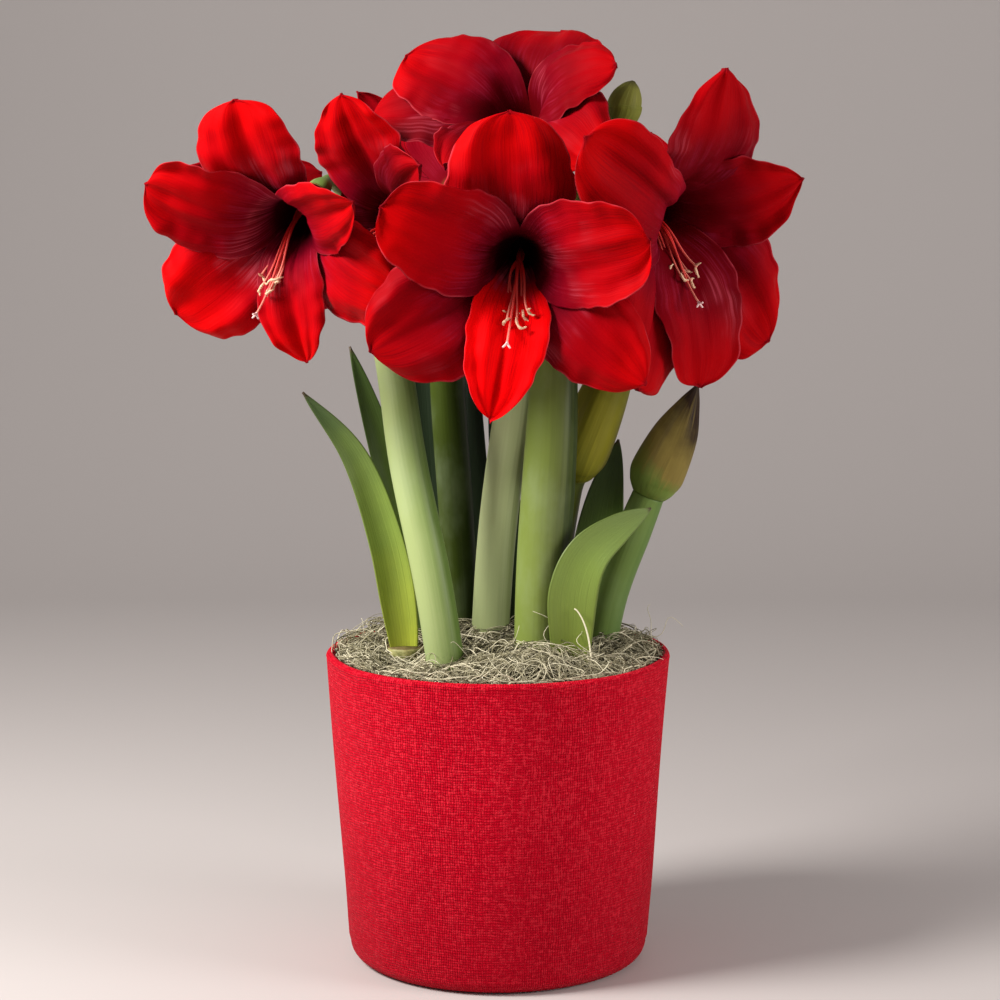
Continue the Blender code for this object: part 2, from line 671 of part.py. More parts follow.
def moss_body(where):
    """The mat of moss on the soil, a little higher in the middle."""
    inset = 2 * COVER_THICKNESS + SHELL_THICKNESS + 3 * GAP
    edge = pot_radius(MOSS_EDGE) - inset
    foot = pot_radius(FOLD_BOTTOM) - inset
    low = SOIL_TOP + GAP
    rise = MOSS_MIDDLE - MOSS_EDGE
    profile = [(edge * share, MOSS_EDGE + rise * math.cos(share * math.pi / 2) ** 0.8)
               for share in (0.0, 0.3, 0.55, 0.75, 0.9)]
    profile += [(edge, MOSS_EDGE), (foot, FOLD_BOTTOM), (foot, low), (0.0, low)]
    return lathe("moss", profile, POT_SIDES, "moss", where)


def bulb_profile(neck_top, grow=0.0):
    """A round bulb drawn in to a short neck, top to bottom."""
    neck = BULB_NECK + grow
    radius = BULB_RADIUS + grow
    shoulder = math.acos(neck / radius)
    angles = np.linspace(shoulder, -math.pi / 2, 7)
    round_part = [(radius * math.cos(a), BULB_CENTRE + radius * math.sin(a)) for a in angles[:-1]]
    return [(0.0, neck_top), (neck, neck_top), *round_part, (0.0, BULB_CENTRE - radius)]


def place_bulbs(where, cutters):
    """The bulbs, and for the soil and moss a socket of the same shape open at the top."""
    for key, ((x, y), top) in BULBS.items():
        bulb = lathe("bulb_" + key, bulb_profile(top), BULB_SIDES, "bulb", where)
        open_top = max(top, SOIL_TOP) + 0.02
        socket = lathe("socket_" + key, bulb_profile(open_top, GAP), BULB_SIDES, "bulb", cutters)
        for piece in (bulb, socket):
            piece.data.transform(Matrix.Translation((x, y, 0.0)))


def main():
    clear_scene()
    plant = collection("potted_amaryllis")
    sockets = collection("bulb sockets")
    holes = collection("stem holes")

    pot_shell(plant)
    pot_cover(plant)
    place_bulbs(plant, sockets)
    stem_cutters(holes)
    soil = soil_body(plant)
    moss = moss_body(plant)
    for filling in (soil, moss):
        cut(filling, sockets)
        cut(filling, holes)
    for key in BULBS:
        cut(bpy.data.objects["bulb_" + key], holes)

    for key, stalk in STALKS.items():
        flower_stalk("stalk_" + key, stalk, plant)
    for key, stalk in BUD_STALKS.items():
        bud_stalk("stalk_" + key + "_bud", stalk, plant)
        bud_body("bud_" + key, stalk.points, BUDS[key], plant)
    bud_body("bud_young", YOUNG_BUD_STEM, BUDS["young"], plant)
    for key, leaf in LEAVES.items():
        leaf_blade("leaf_" + key, leaf, plant)
    for key, bloom in BLOOMS.items():
        bloom_body("bloom_" + key, bloom, plant)
        stamen_cluster("stamens_" + key, bloom, plant)

    for guide in (*sockets.objects, *holes.objects):
        guide.hide_render = True
        guide.display_type = "WIRE"


main()
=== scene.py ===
"""The looks of a potted amaryllis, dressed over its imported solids.

Every surface is a function of two parameters, worked out as whole arrays: a tepal or a
leaf is a blade over (along, across), and a stalk, bud, filament or strand of moss is a
round section carried along a path.  Metres, +Z up, the origin under the middle of the pot.
"""
import math
from collections import namedtuple
from functools import partial

import bpy
import numpy as np
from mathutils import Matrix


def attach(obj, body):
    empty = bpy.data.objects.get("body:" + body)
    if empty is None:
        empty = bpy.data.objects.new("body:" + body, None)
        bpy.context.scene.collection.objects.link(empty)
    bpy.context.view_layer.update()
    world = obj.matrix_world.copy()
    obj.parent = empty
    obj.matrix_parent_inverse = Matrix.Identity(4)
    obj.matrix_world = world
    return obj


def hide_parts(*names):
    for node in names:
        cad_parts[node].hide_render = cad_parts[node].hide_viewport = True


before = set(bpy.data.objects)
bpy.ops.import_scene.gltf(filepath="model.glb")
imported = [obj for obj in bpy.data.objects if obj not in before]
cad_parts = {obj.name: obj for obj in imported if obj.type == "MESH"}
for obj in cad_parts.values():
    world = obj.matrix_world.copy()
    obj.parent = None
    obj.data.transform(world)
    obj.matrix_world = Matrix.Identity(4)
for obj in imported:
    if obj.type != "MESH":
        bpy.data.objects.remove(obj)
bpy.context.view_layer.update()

# The pot, the soil line and the moss, as in the solids.
POT_HEIGHT = 0.186
RIM_RADIUS = 0.1025
BASE_RADIUS = 0.0892
CORNER_RADIUS = 0.010
FOOT_RING = 0.0745          # radius where the cover ends under the pot
COVER_THICKNESS = 0.0012
RIM_WIDTH = 0.0055          # cover, shell and the cover turned in
FOLD_BOTTOM = 0.172
ROLL_HEIGHT = 0.003         # the rounded top of the rim
SIDE_BOTTOM = 0.014         # where the straight side meets the bottom corner
FLOOR_GAP = 0.0003
SOIL_TOP = 0.1690
MOSS_EDGE = 0.1815
MOSS_MIDDLE = 0.1900
MOSS_RADIUS = 0.0965
MAT_FOOT_RADIUS = 0.0955
MOSS_LEVEL = 0.188          # where stems and leaves pass through the moss
STALK_FOOT = 0.156
UNDER = 3.0                 # added to the tone on the lower face of a blade

# Petals, stamens, stems and leaves.
TUBE_RADIUS = 0.0055
TUBE_LEAN = 15.0
TEPAL_THICKNESS = 0.0010
TEPAL_GRID = (64, 39)       # rows and columns of a tepal
HIDDEN_GRID = (42, 25)      # the same on the blooms that are turned away
RECEPTACLE_RADIUS = 0.0088
RECEPTACLE_BOTTOM = -0.0010
RECEPTACLE_TOP = 0.0040
OVARY_LENGTH = 0.018
OVARY_RADIUS = 0.0068
PEDICEL_RADIUS = 0.0040
LEAF_THICKNESS = 0.0016
LEAF_TONE = 0.1
THROAT_BREADTH = 1.22       # most a tepal's half width may be of its distance from the axis
OPEN_BEND = 2.2             # bend across the open part of a tepal, per metre
EDGE_WAVE = 0.0017          # heights of the waves and folds on a tepal
EDGE_RUFFLE = 0.0007
EDGE_NOTCH = 0.0006
BROAD_FOLD = 0.0022
CRUMPLE = 0.0003
TIP_TURN = 0.0020
MIDRIB_GROOVE = 0.0016
VEIN_HEIGHT = 0.00012
WHORL_STEP = 0.0010         # how far a whorl lies off the middle in the tube
WHORL_SPREAD = 0.0036       # and how much further it lies off outside it
FILAMENT_RADIUS = 0.00075
STAMENS = ((0.052, 0.024, -0.011), (0.060, 0.027, -0.006), (0.054, 0.030, -0.002),
           (0.062, 0.029, 0.003), (0.055, 0.026, 0.008), (0.059, 0.022, 0.012),
           (0.074, 0.037, -0.004))

# Strands that stand up out of the moss: foot x and y, lean in x and y, and height.
STRAYS = ((0.040, -0.050, -0.018, 0.002, 0.028), (0.048, -0.048, 0.004, -0.008, 0.020),
          (0.082, -0.012, 0.014, 0.004, 0.020), (0.086, -0.004, 0.008, 0.006, 0.026),
          (0.078, 0.010, 0.016, 0.002, 0.014), (-0.070, -0.010, -0.012, 0.004, 0.016),
          (-0.010, -0.052, -0.016, -0.004, 0.018), (-0.006, -0.050, 0.010, -0.002, 0.022),
          (0.066, -0.040, 0.010, -0.006, 0.014), (-0.080, 0.012, -0.006, 0.006, 0.012))

BULB_NECK_PLACE = (-0.055, -0.010)
BULB_NECK_RADIUS = 0.0128

# Humps and hollows of the moss: x, y, spread and height.
MOSS_HUMPS = ((0.018, -0.072, 0.022, 0.0045), (0.074, -0.022, 0.020, 0.0060),
              (-0.070, 0.030, 0.024, 0.0040), (0.030, 0.070, 0.030, 0.0040),
              (-0.028, -0.052, 0.014, -0.0080), (-0.055, -0.016, 0.014, -0.0035),
              (-0.056, -0.040, 0.017, -0.0075), (0.030, -0.055, 0.018, 0.0035),
              (-0.022, -0.012, 0.015, -0.0100), (0.046, -0.020, 0.014, -0.0080))
CLEARING = (-0.056, -0.034, 0.018)      # where the moss lies flat: x, y and spread
STEM_GAP = 0.0006           # the least room between a strand's middle and a stem
LEAF_ROOM = 0.0022          # radius kept clear at three places across a leaf
OVER_RIM_SHARE = 0.035      # share of the strands that may lie over the rim
BED_STRANDS = 1900
LOOP_STRANDS = 1500
FOOT_STRANDS = 190

# The cover's weave: upright threads round the pot, and the pitch of the level ones.
UPRIGHT_THREADS = 410
THREAD_PITCH = 0.0016

# The camera, fitted to the pot's ellipses in the photo, and the floor's curve at the back.
CAMERA_PLACE = (0.0011, -1.6, 0.505)
CAMERA_TILT = 0.142         # radians below level
SENSOR_WIDTH = 36.0
LENS = 98.2
FLOOR_END = 1.2             # where the level floor ends
FLOOR_BEND = 0.9            # radius of the curve up from it

# base, turn, lift and roll place a bloom; sag and reach scale how far its stamens sag
# and stand out, and swing moves their ends sideways.  They sag more than the solid's in
# the front, left, right and top blooms.
Bloom = namedtuple("Bloom", "base turn lift roll tepals sag reach swing",
                   defaults=(1.0, 1.0, 0.0))

# direction, length, opening, curl and sweep are the solid's, and so is width but for 2 mm
# more on the front bloom's tepals at 95 and 20.  deep says how far out the dark
# crimson of the throat reaches, from 0 to 1, and also darkens the whole tepal as painted
# shade; below 0 a painted highlight brightens the tepal.  square 0 gives a pointed tip and
# 1 a squared one.  widest is where along its length it is at its widest.  lop narrows one
# side and widens the other a little: above 0 the side of smaller directions is narrowed.
Tepal = namedtuple("Tepal", "direction length width opening curl deep square widest lop sweep",
                   defaults=(0.35, 0.2, 0.56, 0.0, 0.0))

REGULAR = (
    Tepal(90, 0.110, 0.064, 80, 25),
    Tepal(150, 0.105, 0.056, 70, 25),
    Tepal(210, 0.110, 0.064, 80, 25),
    Tepal(270, 0.090, 0.044, 70, 25),
    Tepal(330, 0.110, 0.064, 80, 25),
    Tepal(30, 0.105, 0.056, 70, 25),
)

BLOOMS = {
    "front": Bloom((0.013, -0.062, 0.429), -3, -9, -3, (
        Tepal(95, 0.125, 0.080, 85, 25, 0.12, 0.70, 0.42),
        Tepal(155, 0.120, 0.064, 70, 25, 0.35, 0.85, 0.52),
        Tepal(212, 0.134, 0.074, 80, 25, 0.66, 0.70, 0.52),
        Tepal(263, 0.119, 0.044, 75, 25, -0.50, 0.00, 0.58),
        Tepal(327, 0.135, 0.060, 75, 15, 0.45, 0.30, 0.54, sweep=-0.05),
        Tepal(20, 0.120, 0.066, 60, 25, 0.34, 1.00, 0.48),
    ), 1.30),
    "left": Bloom((-0.106, -0.025, 0.456), -20, -22, 3, (
        Tepal(94, 0.120, 0.072, 85, 25, 0.16, 1.00, 0.42, lop=0.10),
        Tepal(148, 0.109, 0.062, 75, 30, 0.36, 0.95, 0.50),
        Tepal(211, 0.119, 0.070, 75, 20, -0.05, 0.95, 0.52),
        Tepal(277, 0.106, 0.042, 70, 20, 0.25, 0.25, 0.58),
        Tepal(336, 0.120, 0.068, 65, 30, 0.20, 0.95, 0.52),
        Tepal(25, 0.110, 0.046, 65, 15, 0.25, 0.20),
    ), 1.28, 1.0, -0.008),
    "right": Bloom((0.071, -0.030, 0.458), 38, -17, 4, (
        Tepal(92, 0.140, 0.074, 80, 30, 0.72, 0.00, 0.48),
        Tepal(146, 0.152, 0.080, 100, 20, 0.36, 0.80, 0.48, lop=0.62),
        Tepal(226, 0.140, 0.066, 65, 15, 0.66, 0.70, 0.52, sweep=0.15),
        Tepal(270, 0.130, 0.064, 65, 25, 0.76, 0.85, 0.54),
        Tepal(322, 0.130, 0.068, 75, 10, 0.62, 0.80, 0.54, sweep=-0.15),
        Tepal(25, 0.107, 0.060, 60, 30, 0.62, 0.00, 0.52),
    ), 1.24, 1.08, -0.005),
    "middle_left": Bloom((-0.046, 0.008, 0.439), -32, 7, 0, (
        Tepal(97, 0.106, 0.064, 55, 10, 0.00, 0.20, 0.50),
        Tepal(155, 0.046, 0.036, 75, 25, 0.60, 0.20),
        Tepal(215, 0.090, 0.060, 90, 30, 0.35, 0.30),
        Tepal(272, 0.090, 0.044, 60, 25, 0.15, 0.30),
        Tepal(330, 0.110, 0.062, 80, 25, 0.80, 0.30),
        Tepal(25, 0.105, 0.058, 50, 20, 1.00, 0.20),
    ), 1.00),
    "top": Bloom((0.025, -0.005, 0.475), -28, 42, -9, (
        Tepal(96, 0.100, 0.092, 95, 30, 1.00, 0.85, 0.50),
        Tepal(168, 0.104, 0.068, 78, 10, 0.62, 0.90, 0.50, sweep=0.05),
        Tepal(203, 0.125, 0.066, 90, 25, 1.00, 0.10, sweep=-0.08),
        Tepal(270, 0.100, 0.044, 65, 25, 1.00, 0.20),
        Tepal(330, 0.125, 0.068, 90, 25, 0.50, 0.30, 0.54, sweep=0.05),
        Tepal(25, 0.100, 0.062, 70, 25, 0.80, 0.60, 0.52, sweep=-0.05),
    ), 0.90, 0.62),
    "back_right": Bloom((0.056, 0.048, 0.424), 145, -8, 0, REGULAR),
    "back_left": Bloom((-0.096, 0.048, 0.440), -130, -8, 0, REGULAR),
    "back": Bloom((-0.022, 0.082, 0.452), -172, 2, 0,
                  (*REGULAR[:5], Tepal(47, 0.122, 0.030, 72, 40))),
}
TURNED_AWAY = ("back_right", "back_left", "back")

# Points up a stalk's middle, the radius at each, the blooms on its umbel, its colours
# from the left side round to the right, which are painted light turning to painted shade,
# how much painted shade darkens its foot, and a thin stem where one rises from the umbel.
Stalk = namedtuple("Stalk", "points radii blooms tones dim thin_stem", defaults=(0.0, ()))

YOUNG_BUD_STEM = ((0.021, 0.024, 0.418), (0.030, 0.032, 0.445), (0.054, 0.040, 0.462),
                  (0.068, 0.036, 0.490))
YOUNG_BUD_STEM_RADIUS = 0.0028

STALKS = {
    "left": Stalk(
        ((-0.0265, -0.041, STALK_FOOT), (-0.0375, -0.036, 0.230), (-0.0525, -0.018, 0.300),
         (-0.063, 0.000, 0.365), (-0.078, 0.018, 0.412)),
        (0.0110, 0.0112, 0.0112, 0.0105, 0.0090),
        ("left", "middle_left", "back_left"),
        ((0.33, 0.40, 0.16), (0.23, 0.31, 0.10), (0.10, 0.16, 0.035))),
    "back": Stalk(
        ((-0.020, 0.040, STALK_FOOT), (-0.025, 0.045, 0.250), (-0.031, 0.050, 0.340),
         (-0.033, 0.052, 0.412)),
        (0.0100, 0.0105, 0.0105, 0.0090), ("back",),
        ((0.046, 0.070, 0.006), (0.030, 0.048, 0.004), (0.016, 0.028, 0.003)), 0.5),
    # The middle stalk's colours are paler, as painted light where the stalks in front shade
    # it.
    "middle": Stalk(
        ((-0.007, 0.018, STALK_FOOT), (-0.001, 0.020, 0.250), (0.009, 0.021, 0.330),
         (0.021, 0.024, 0.420)),
        (0.0112, 0.0115, 0.0112, 0.0090), ("top", "back_right"),
        ((0.58, 0.65, 0.33), (0.49, 0.56, 0.27), (0.18, 0.22, 0.08)), 0.75, YOUNG_BUD_STEM),
    "front": Stalk(
        ((0.023, -0.031, STALK_FOOT), (0.026, -0.031, 0.240), (0.031, -0.028, 0.320),
         (0.034, -0.020, 0.405)),
        (0.0145, 0.0155, 0.0150, 0.0110), ("front", "right"),
        ((0.18, 0.235, 0.048), (0.115, 0.145, 0.034), (0.022, 0.036, 0.005))),
}

BUD_STALKS = {
    "hidden": Stalk(
        ((0.030, 0.046, STALK_FOOT), (0.034, 0.036, 0.220), (0.041, 0.020, 0.275),
         (0.045, 0.013, 0.291)),
        (0.0085, 0.0085, 0.0085, 0.0085), (),
        ((0.15, 0.19, 0.03), (0.12, 0.15, 0.02), (0.08, 0.10, 0.015))),
    "right": Stalk(
        ((0.056, 0.004, STALK_FOOT), (0.066, 0.004, 0.215), (0.081, 0.002, 0.258),
         (0.089, 0.001, 0.279)),
        (0.0100, 0.0105, 0.0104, 0.0096), (),
        ((0.17, 0.26, 0.06), (0.14, 0.22, 0.05), (0.10, 0.17, 0.04))),
}

# A bud's tip, its (share of length, radius) profile, and its colours from foot to tip.
Bud = namedtuple("Bud", "tip profile tones")

BUDS = {
    "hidden": Bud((0.078, 0.004, 0.378),
                  ((0.0, 0.0075), (0.18, 0.0125), (0.45, 0.0165), (0.72, 0.0135),
                   (0.90, 0.0070), (1.0, 0.0010)),
                  ((0.17, 0.17, 0.014), (0.19, 0.175, 0.014), (0.11, 0.105, 0.010))),
    "right": Bud((0.117, -0.006, 0.345),
                 ((0.0, 0.0101), (0.05, 0.0112), (0.12, 0.0126), (0.22, 0.0142),
                  (0.42, 0.0162), (0.68, 0.0134), (0.88, 0.0066), (1.0, 0.0010)),
                 ((0.15, 0.22, 0.040), (0.20, 0.150, 0.036), (0.022, 0.011, 0.006))),
    "young": Bud((0.080, 0.031, 0.522),
                 ((0.0, 0.0045), (0.20, 0.0085), (0.50, 0.0104), (0.78, 0.0094),
                  (0.93, 0.0055), (1.0, 0.0010)),
                 ((0.10, 0.11, 0.015), (0.16, 0.17, 0.025), (0.17, 0.17, 0.030))),
}

# A leaf's path, width, the way its upper side looks, its channel, and its colours at
# foot, middle and tip.
Leaf = namedtuple("Leaf", "points width face channel foot middle tip")
FRESH = ((0.55, 0.62, 0.06), (0.26, 0.37, 0.06), (0.07, 0.12, 0.035))
GREEN = ((0.12, 0.20, 0.03), (0.10, 0.165, 0.022), (0.05, 0.09, 0.018))
# The nearly black greens below are painted shade for the leaves that stand in shadow at the
# back.
PAINTED_SHADE_GREEN = ((0.016, 0.030, 0.008), (0.012, 0.024, 0.008), (0.010, 0.020, 0.008))
# The clasping leaf's greens are paler, as painted light on its lit upper side.
CLASPING = ((0.17, 0.22, 0.030), (0.19, 0.27, 0.050), (0.16, 0.23, 0.06))

LEAVES = {
    "left": Leaf(((-0.055, -0.010, 0.172), (-0.058, -0.010, 0.205), (-0.067, -0.011, 0.255),
                  (-0.085, -0.013, 0.305), (-0.114, -0.016, 0.342)),
                 0.023, (0.25, -0.95, -0.15), 0.0040, *FRESH),
    "left_back": Leaf(((-0.040, 0.012, STALK_FOOT), (-0.047, 0.013, 0.215),
                       (-0.060, 0.015, 0.270), (-0.074, 0.016, 0.320), (-0.088, 0.016, 0.366)),
                      0.022, (0.35, -0.92, -0.10), 0.0035, *GREEN),
    # These three leaves at the back take the painted shade greens.
    "dark_left": Leaf(((-0.036, 0.068, STALK_FOOT), (-0.040, 0.068, 0.220),
                       (-0.044, 0.068, 0.290), (-0.047, 0.069, 0.345), (-0.049, 0.070, 0.385)),
                      0.022, (0.10, -0.99, 0.0), 0.0030, *PAINTED_SHADE_GREEN),
    "dark_middle": Leaf(((-0.006, 0.062, STALK_FOOT), (-0.009, 0.064, 0.230),
                         (-0.014, 0.066, 0.290), (-0.017, 0.067, 0.345),
                         (-0.018, 0.068, 0.380)),
                        0.016, (-0.05, -0.99, 0.0), 0.0030, *PAINTED_SHADE_GREEN),
    "dark_right": Leaf(((0.011, 0.045, STALK_FOOT), (0.008, 0.045, 0.230),
                        (0.003, 0.044, 0.290), (0.000, 0.043, 0.340), (-0.001, 0.043, 0.375)),
                       0.018, (0.05, -0.99, 0.0), 0.0030, *PAINTED_SHADE_GREEN),
    "right_back": Leaf(((0.049, 0.030, STALK_FOOT), (0.054, 0.028, 0.200),
                        (0.059, 0.025, 0.240), (0.064, 0.022, 0.275), (0.072, 0.020, 0.310)),
                       0.034, (0.10, -0.99, 0.0), 0.0035, *GREEN),
    "clasping": Leaf(((0.0415, -0.047, STALK_FOOT), (0.042, -0.047, 0.200),
                      (0.0435, -0.047, 0.230), (0.0519, -0.046, 0.251),
                      (0.0689, -0.042, 0.2655), (0.0886, -0.036, 0.2766)),
                     0.030, (0.05, -0.99, 0.10), 0.0030, *CLASPING),
}


# Numbers and paths.

def smoothstep(x, low, high):
    t = np.clip((x - low) / (high - low), 0.0, 1.0)
    return t * t * (3.0 - 2.0 * t)


def unit(vectors):
    return vectors / np.linalg.norm(vectors, axis=-1, keepdims=True)


def wave(turns, phase=0.0):
    """Sine of a number of whole turns, from a phase in radians."""
    return np.sin(2 * np.pi * turns + phase)


def once_round(sides):
    """Angles once round, in radians."""
    return np.arange(sides) * 2 * np.pi / sides


def level_way(angle):
    """Level unit vectors (x, y) at these angles."""
    return np.stack([np.cos(angle), np.sin(angle)], -1)


def smooth_path(points, count):
    """Catmull-Rom curve through the points, sampled count times end to end."""
    pts = np.asarray(points, float)
    ends = np.vstack([2 * pts[0] - pts[1], pts, 2 * pts[-1] - pts[-2]])
    places = np.linspace(0, len(pts) - 1, count)
    span = np.minimum(places.astype(int), len(pts) - 2)
    u = (places - span)[:, None]
    a, b, c, d = (ends[span + k] for k in range(4))
    return 0.5 * (2 * b + (c - a) * u + (2 * a - 5 * b + 4 * c - d) * u ** 2
                  + (3 * b - a - 3 * c + d) * u ** 3)


def smooth_values(values, count):
    """Single numbers carried along the same kind of curve."""
    return smooth_path([(value,) for value in values], count)[:, 0]


# Forms: a form is closed, and its place holds three values at each point for its finish.

Form = namedtuple("Form", "points quads triangles place")


def tube_form(paths, radii, sides, place, section=None):
    """Round tubes along paths (tube, row, 3), closed by a pole at both ends.

    A ring's point is path + radius * (cos a * side + sin a * front).  side is carried
    from row to row, less whatever isn't square to the path, and front is the cross
    product of the way along and side.  section scales the radius at each (row, side).
    """
    tubes, rows = paths.shape[:2]
    along = unit(np.gradient(paths, axis=1))
    side = np.empty_like(along)
    guess = np.where(np.abs(along[:, 0, 2:]) > 0.8, [[1.0, 0.0, 0.0]], [[0.0, 0.0, 1.0]])
    for row in range(rows):
        guess = unit(guess - along[:, row] * (guess * along[:, row]).sum(-1, keepdims=True))
        side[:, row] = guess
    front = np.cross(along, side)
    angle = once_round(sides)
    reach = np.broadcast_to(radii, (tubes, rows))[:, :, None] * np.ones(sides)
    if section is not None:
        reach = reach * section
    rings = (paths[:, :, None] + (reach * np.cos(angle))[..., None] * side[:, :, None]
             + (reach * np.sin(angle))[..., None] * front[:, :, None])
    return ring_form(rings, place)


def ring_form(rings, place):
    """Closed form over rings of points (tube, row, side, 3), with a pole at both ends.

    place has the same leading shape, or the shape (tube, row, 1, 3).
    """
    tubes, rows, sides = rings.shape[:3]
    each = rows * sides + 2
    place = np.broadcast_to(place, rings.shape)
    ends = rings[:, [0, -1]].mean(2)
    end_place = place[:, [0, -1]].mean(2)
    points = np.concatenate([rings.reshape(tubes, -1, 3), ends], axis=1)
    places = np.concatenate([place.reshape(tubes, -1, 3), end_place], axis=1)
    i, j = np.meshgrid(np.arange(rows - 1), np.arange(sides), indexing="ij")
    k = (j + 1) % sides
    quads = np.stack([i * sides + j, i * sides + k, (i + 1) * sides + k,
                      (i + 1) * sides + j], -1).reshape(-1, 4)
    j = np.arange(sides)
    k, last = (j + 1) % sides, (rows - 1) * sides
    triangles = np.concatenate([np.stack([np.full(sides, each - 2), k, j], -1),
                                np.stack([np.full(sides, each - 1), last + j, last + k], -1)])
    step = (np.arange(tubes) * each)[:, None, None]
    return Form(points.reshape(-1, 3), (quads + step).reshape(-1, 4),
                (triangles + step).reshape(-1, 3), places.reshape(-1, 3))


def toned(tubes, rows, tone):
    """Places that hold only a tone: one for all, one a tube or one a row."""
    place = np.zeros((tubes, rows, 1, 3))
    place[..., 2] = tone
    return place


def blade_form(middle, thickness, s, t, tone, relief=0.0):
    """A thin closed blade about a grid of middle points (row along, column across).

    The normal is the cross product of the ways along and across.  The upper face lies
    half the thickness plus the relief above the middle and the lower face half the
    thickness below, both drawn together at the side edges as the root of 1 - t**4.
    place is (along, across, tone), with tone + UNDER on the lower face.
    """
    along = np.gradient(middle, axis=0)
    across = np.gradient(middle, axis=1)
    normal = unit(np.cross(along, across))
    half = (thickness / 2 * np.sqrt(np.clip(1 - t ** 4, 0, 1)))[..., None]
    upper = middle + normal * (half + (relief * (1 - t ** 4))[..., None])
    lower = middle - normal * half
    rings = np.concatenate([upper[:, ::-1], lower[:, 1:-1]], axis=1)
    spots = np.stack([s, t, np.full_like(s, tone)], -1)
    under = spots + [0.0, 0.0, UNDER]
    place = np.concatenate([spots[:, ::-1], under[:, 1:-1]], axis=1)
    return ring_form(rings[None], place[None])


def add_object(name, data):
    """A new object in the scene."""
    made = bpy.data.objects.new(name, data)
    bpy.context.scene.collection.objects.link(made)
    return made


def make_piece(name, forms, finish, replaces=()):
    """One object out of closed forms; it rides on the plant and stands for its nodes."""
    starts = np.cumsum([0] + [len(form.points) for form in forms])[:-1]
    quads = [face for form, k in zip(forms, starts) for face in (form.quads + k).tolist()]
    triangles = [face for form, k in zip(forms, starts)
                 for face in (form.triangles + k).tolist()]
    mesh = bpy.data.meshes.new(name)
    points = np.concatenate([form.points for form in forms])
    mesh.from_pydata(points.tolist(), [], quads + triangles)
    mesh.polygons.foreach_set("use_smooth", np.ones(len(mesh.polygons), bool))
    place = mesh.attributes.new("place", "FLOAT_VECTOR", "POINT")
    place.data.foreach_set("vector", np.concatenate([form.place for form in forms]).ravel())
    mesh.materials.append(finish)
    made = add_object(name, mesh)
    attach(made, "root")
    if replaces:
        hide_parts(*replaces)
    return made


# Finishes.

def math_method(operation, swapped=False):
    """A method that joins a value and another term, if there is one, in a Math node."""
    def method(self, *other):
        terms = (*other, self) if swapped else (self, *other)
        return self.math(operation, *terms)
    return method


class Value:
    """A shader output that arithmetic works on: each operator adds one Math node."""

    def __init__(self, finish, socket):
        self.finish, self.socket = finish, socket

    def math(self, operation, *terms):
        return self.finish.node("ShaderNodeMath", {"operation": operation},
                                dict(enumerate(terms)))

    __add__ = __radd__ = math_method("ADD")
    __mul__ = __rmul__ = math_method("MULTIPLY")
    __sub__ = math_method("SUBTRACT")
    __rsub__ = math_method("SUBTRACT", swapped=True)
    __truediv__ = math_method("DIVIDE")
    __abs__ = math_method("ABSOLUTE")
    sine = math_method("SINE")
    floor = math_method("FLOOR")
    largest = math_method("MAXIMUM")

    def fade(self, low, high):
        """0 below low, 1 above high and smooth between."""
        return self.finish.node("ShaderNodeMapRange", {"interpolation_type": "SMOOTHSTEP"},
                                {"Value": self, "From Min": low, "From Max": high})


class Finish:
    """A Principled material being put together."""

    def __init__(self, name, **constants):
        self.material = bpy.data.materials.new(name)
        self.material.use_nodes = True
        self.tree = self.material.node_tree
        self.shader = self.tree.nodes["Principled BSDF"]
        self.fill_shader(constants)

    def fill_shader(self, values):
        """Fill the shader's sockets, named in lower case with underscores."""
        for key, value in values.items():
            name = key.replace("_", " ").title().replace("Ior", "IOR")
            self.fill(self.shader.inputs[name], value)

    def fill(self, socket, value):
        """Link a value to a socket, or set it there when it is plain numbers."""
        if isinstance(value, Value):
            self.tree.links.new(value.socket, socket)
        elif socket.type == "RGBA":
            socket.default_value = (*value, 1.0)
        else:
            socket.default_value = value

    def node(self, kind, settings=None, sockets=None, output=0):
        """Add a node: its settings first, then its sockets; returns one output."""
        made = self.tree.nodes.new(kind)
        for key, value in (settings or {}).items():
            if key == "stops":
                ramp = made.color_ramp
                while len(ramp.elements) < len(value):
                    ramp.elements.new(1.0)
                for element, (position, colour) in zip(ramp.elements, value):
                    element.position = position
                    element.color = (*colour, 1.0)
            else:
                setattr(made, key, value)
        for key, value in (sockets or {}).items():
            self.fill(made.inputs[key], value)
        return Value(self, made.outputs[output])

    def parts(self, vector):
        """The three numbers of a vector."""
        first = self.node("ShaderNodeSeparateXYZ", sockets={0: vector})
        outputs = first.socket.node.outputs
        return [Value(self, outputs[k]) for k in range(3)]

    def place(self):
        return self.parts(self.node("ShaderNodeAttribute", {"attribute_name": "place"},
                                    output=1))

    def position(self):
        return self.node("ShaderNodeTexCoord", output=3)

    def vector(self, x, y, z):
        return self.node("ShaderNodeCombineXYZ", sockets={0: x, 1: y, 2: z})

    def noise(self, where, scale, detail=2.0, roughness=0.5):
        return self.node("ShaderNodeTexNoise", sockets={
            "Vector": where, "Scale": scale, "Detail": detail, "Roughness": roughness})

    def grain(self, scale, detail=2.0, roughness=0.5):
        """Noise over the object's own position."""
        return self.noise(self.position(), scale, detail, roughness)

    def ramp(self, value, *stops):
        return self.node("ShaderNodeValToRGB", {"stops": stops}, {0: value})

    def blend(self, share, first, second):
        return self.node("ShaderNodeMix", {"data_type": "RGBA"},
                         {0: share, 6: first, 7: second}, output=2)

    def paint(self, colour, *layers):
        """Lay colours over one another: a layer is its share and its colour."""
        for share, tint in layers:
            colour = self.blend(share, colour, tint)
        return colour

    def bump(self, height, distance, strength):
        return self.node("ShaderNodeBump", sockets={
            "Height": height, "Distance": distance, "Strength": strength})

    def finished(self, colour, roughness, height, distance, strength):
        """Fill the shader's sockets that vary, and hand over the material."""
        normal = self.bump(height, distance, strength)
        self.fill_shader({"base_color": colour, "roughness": roughness, "normal": normal})
        return self.material


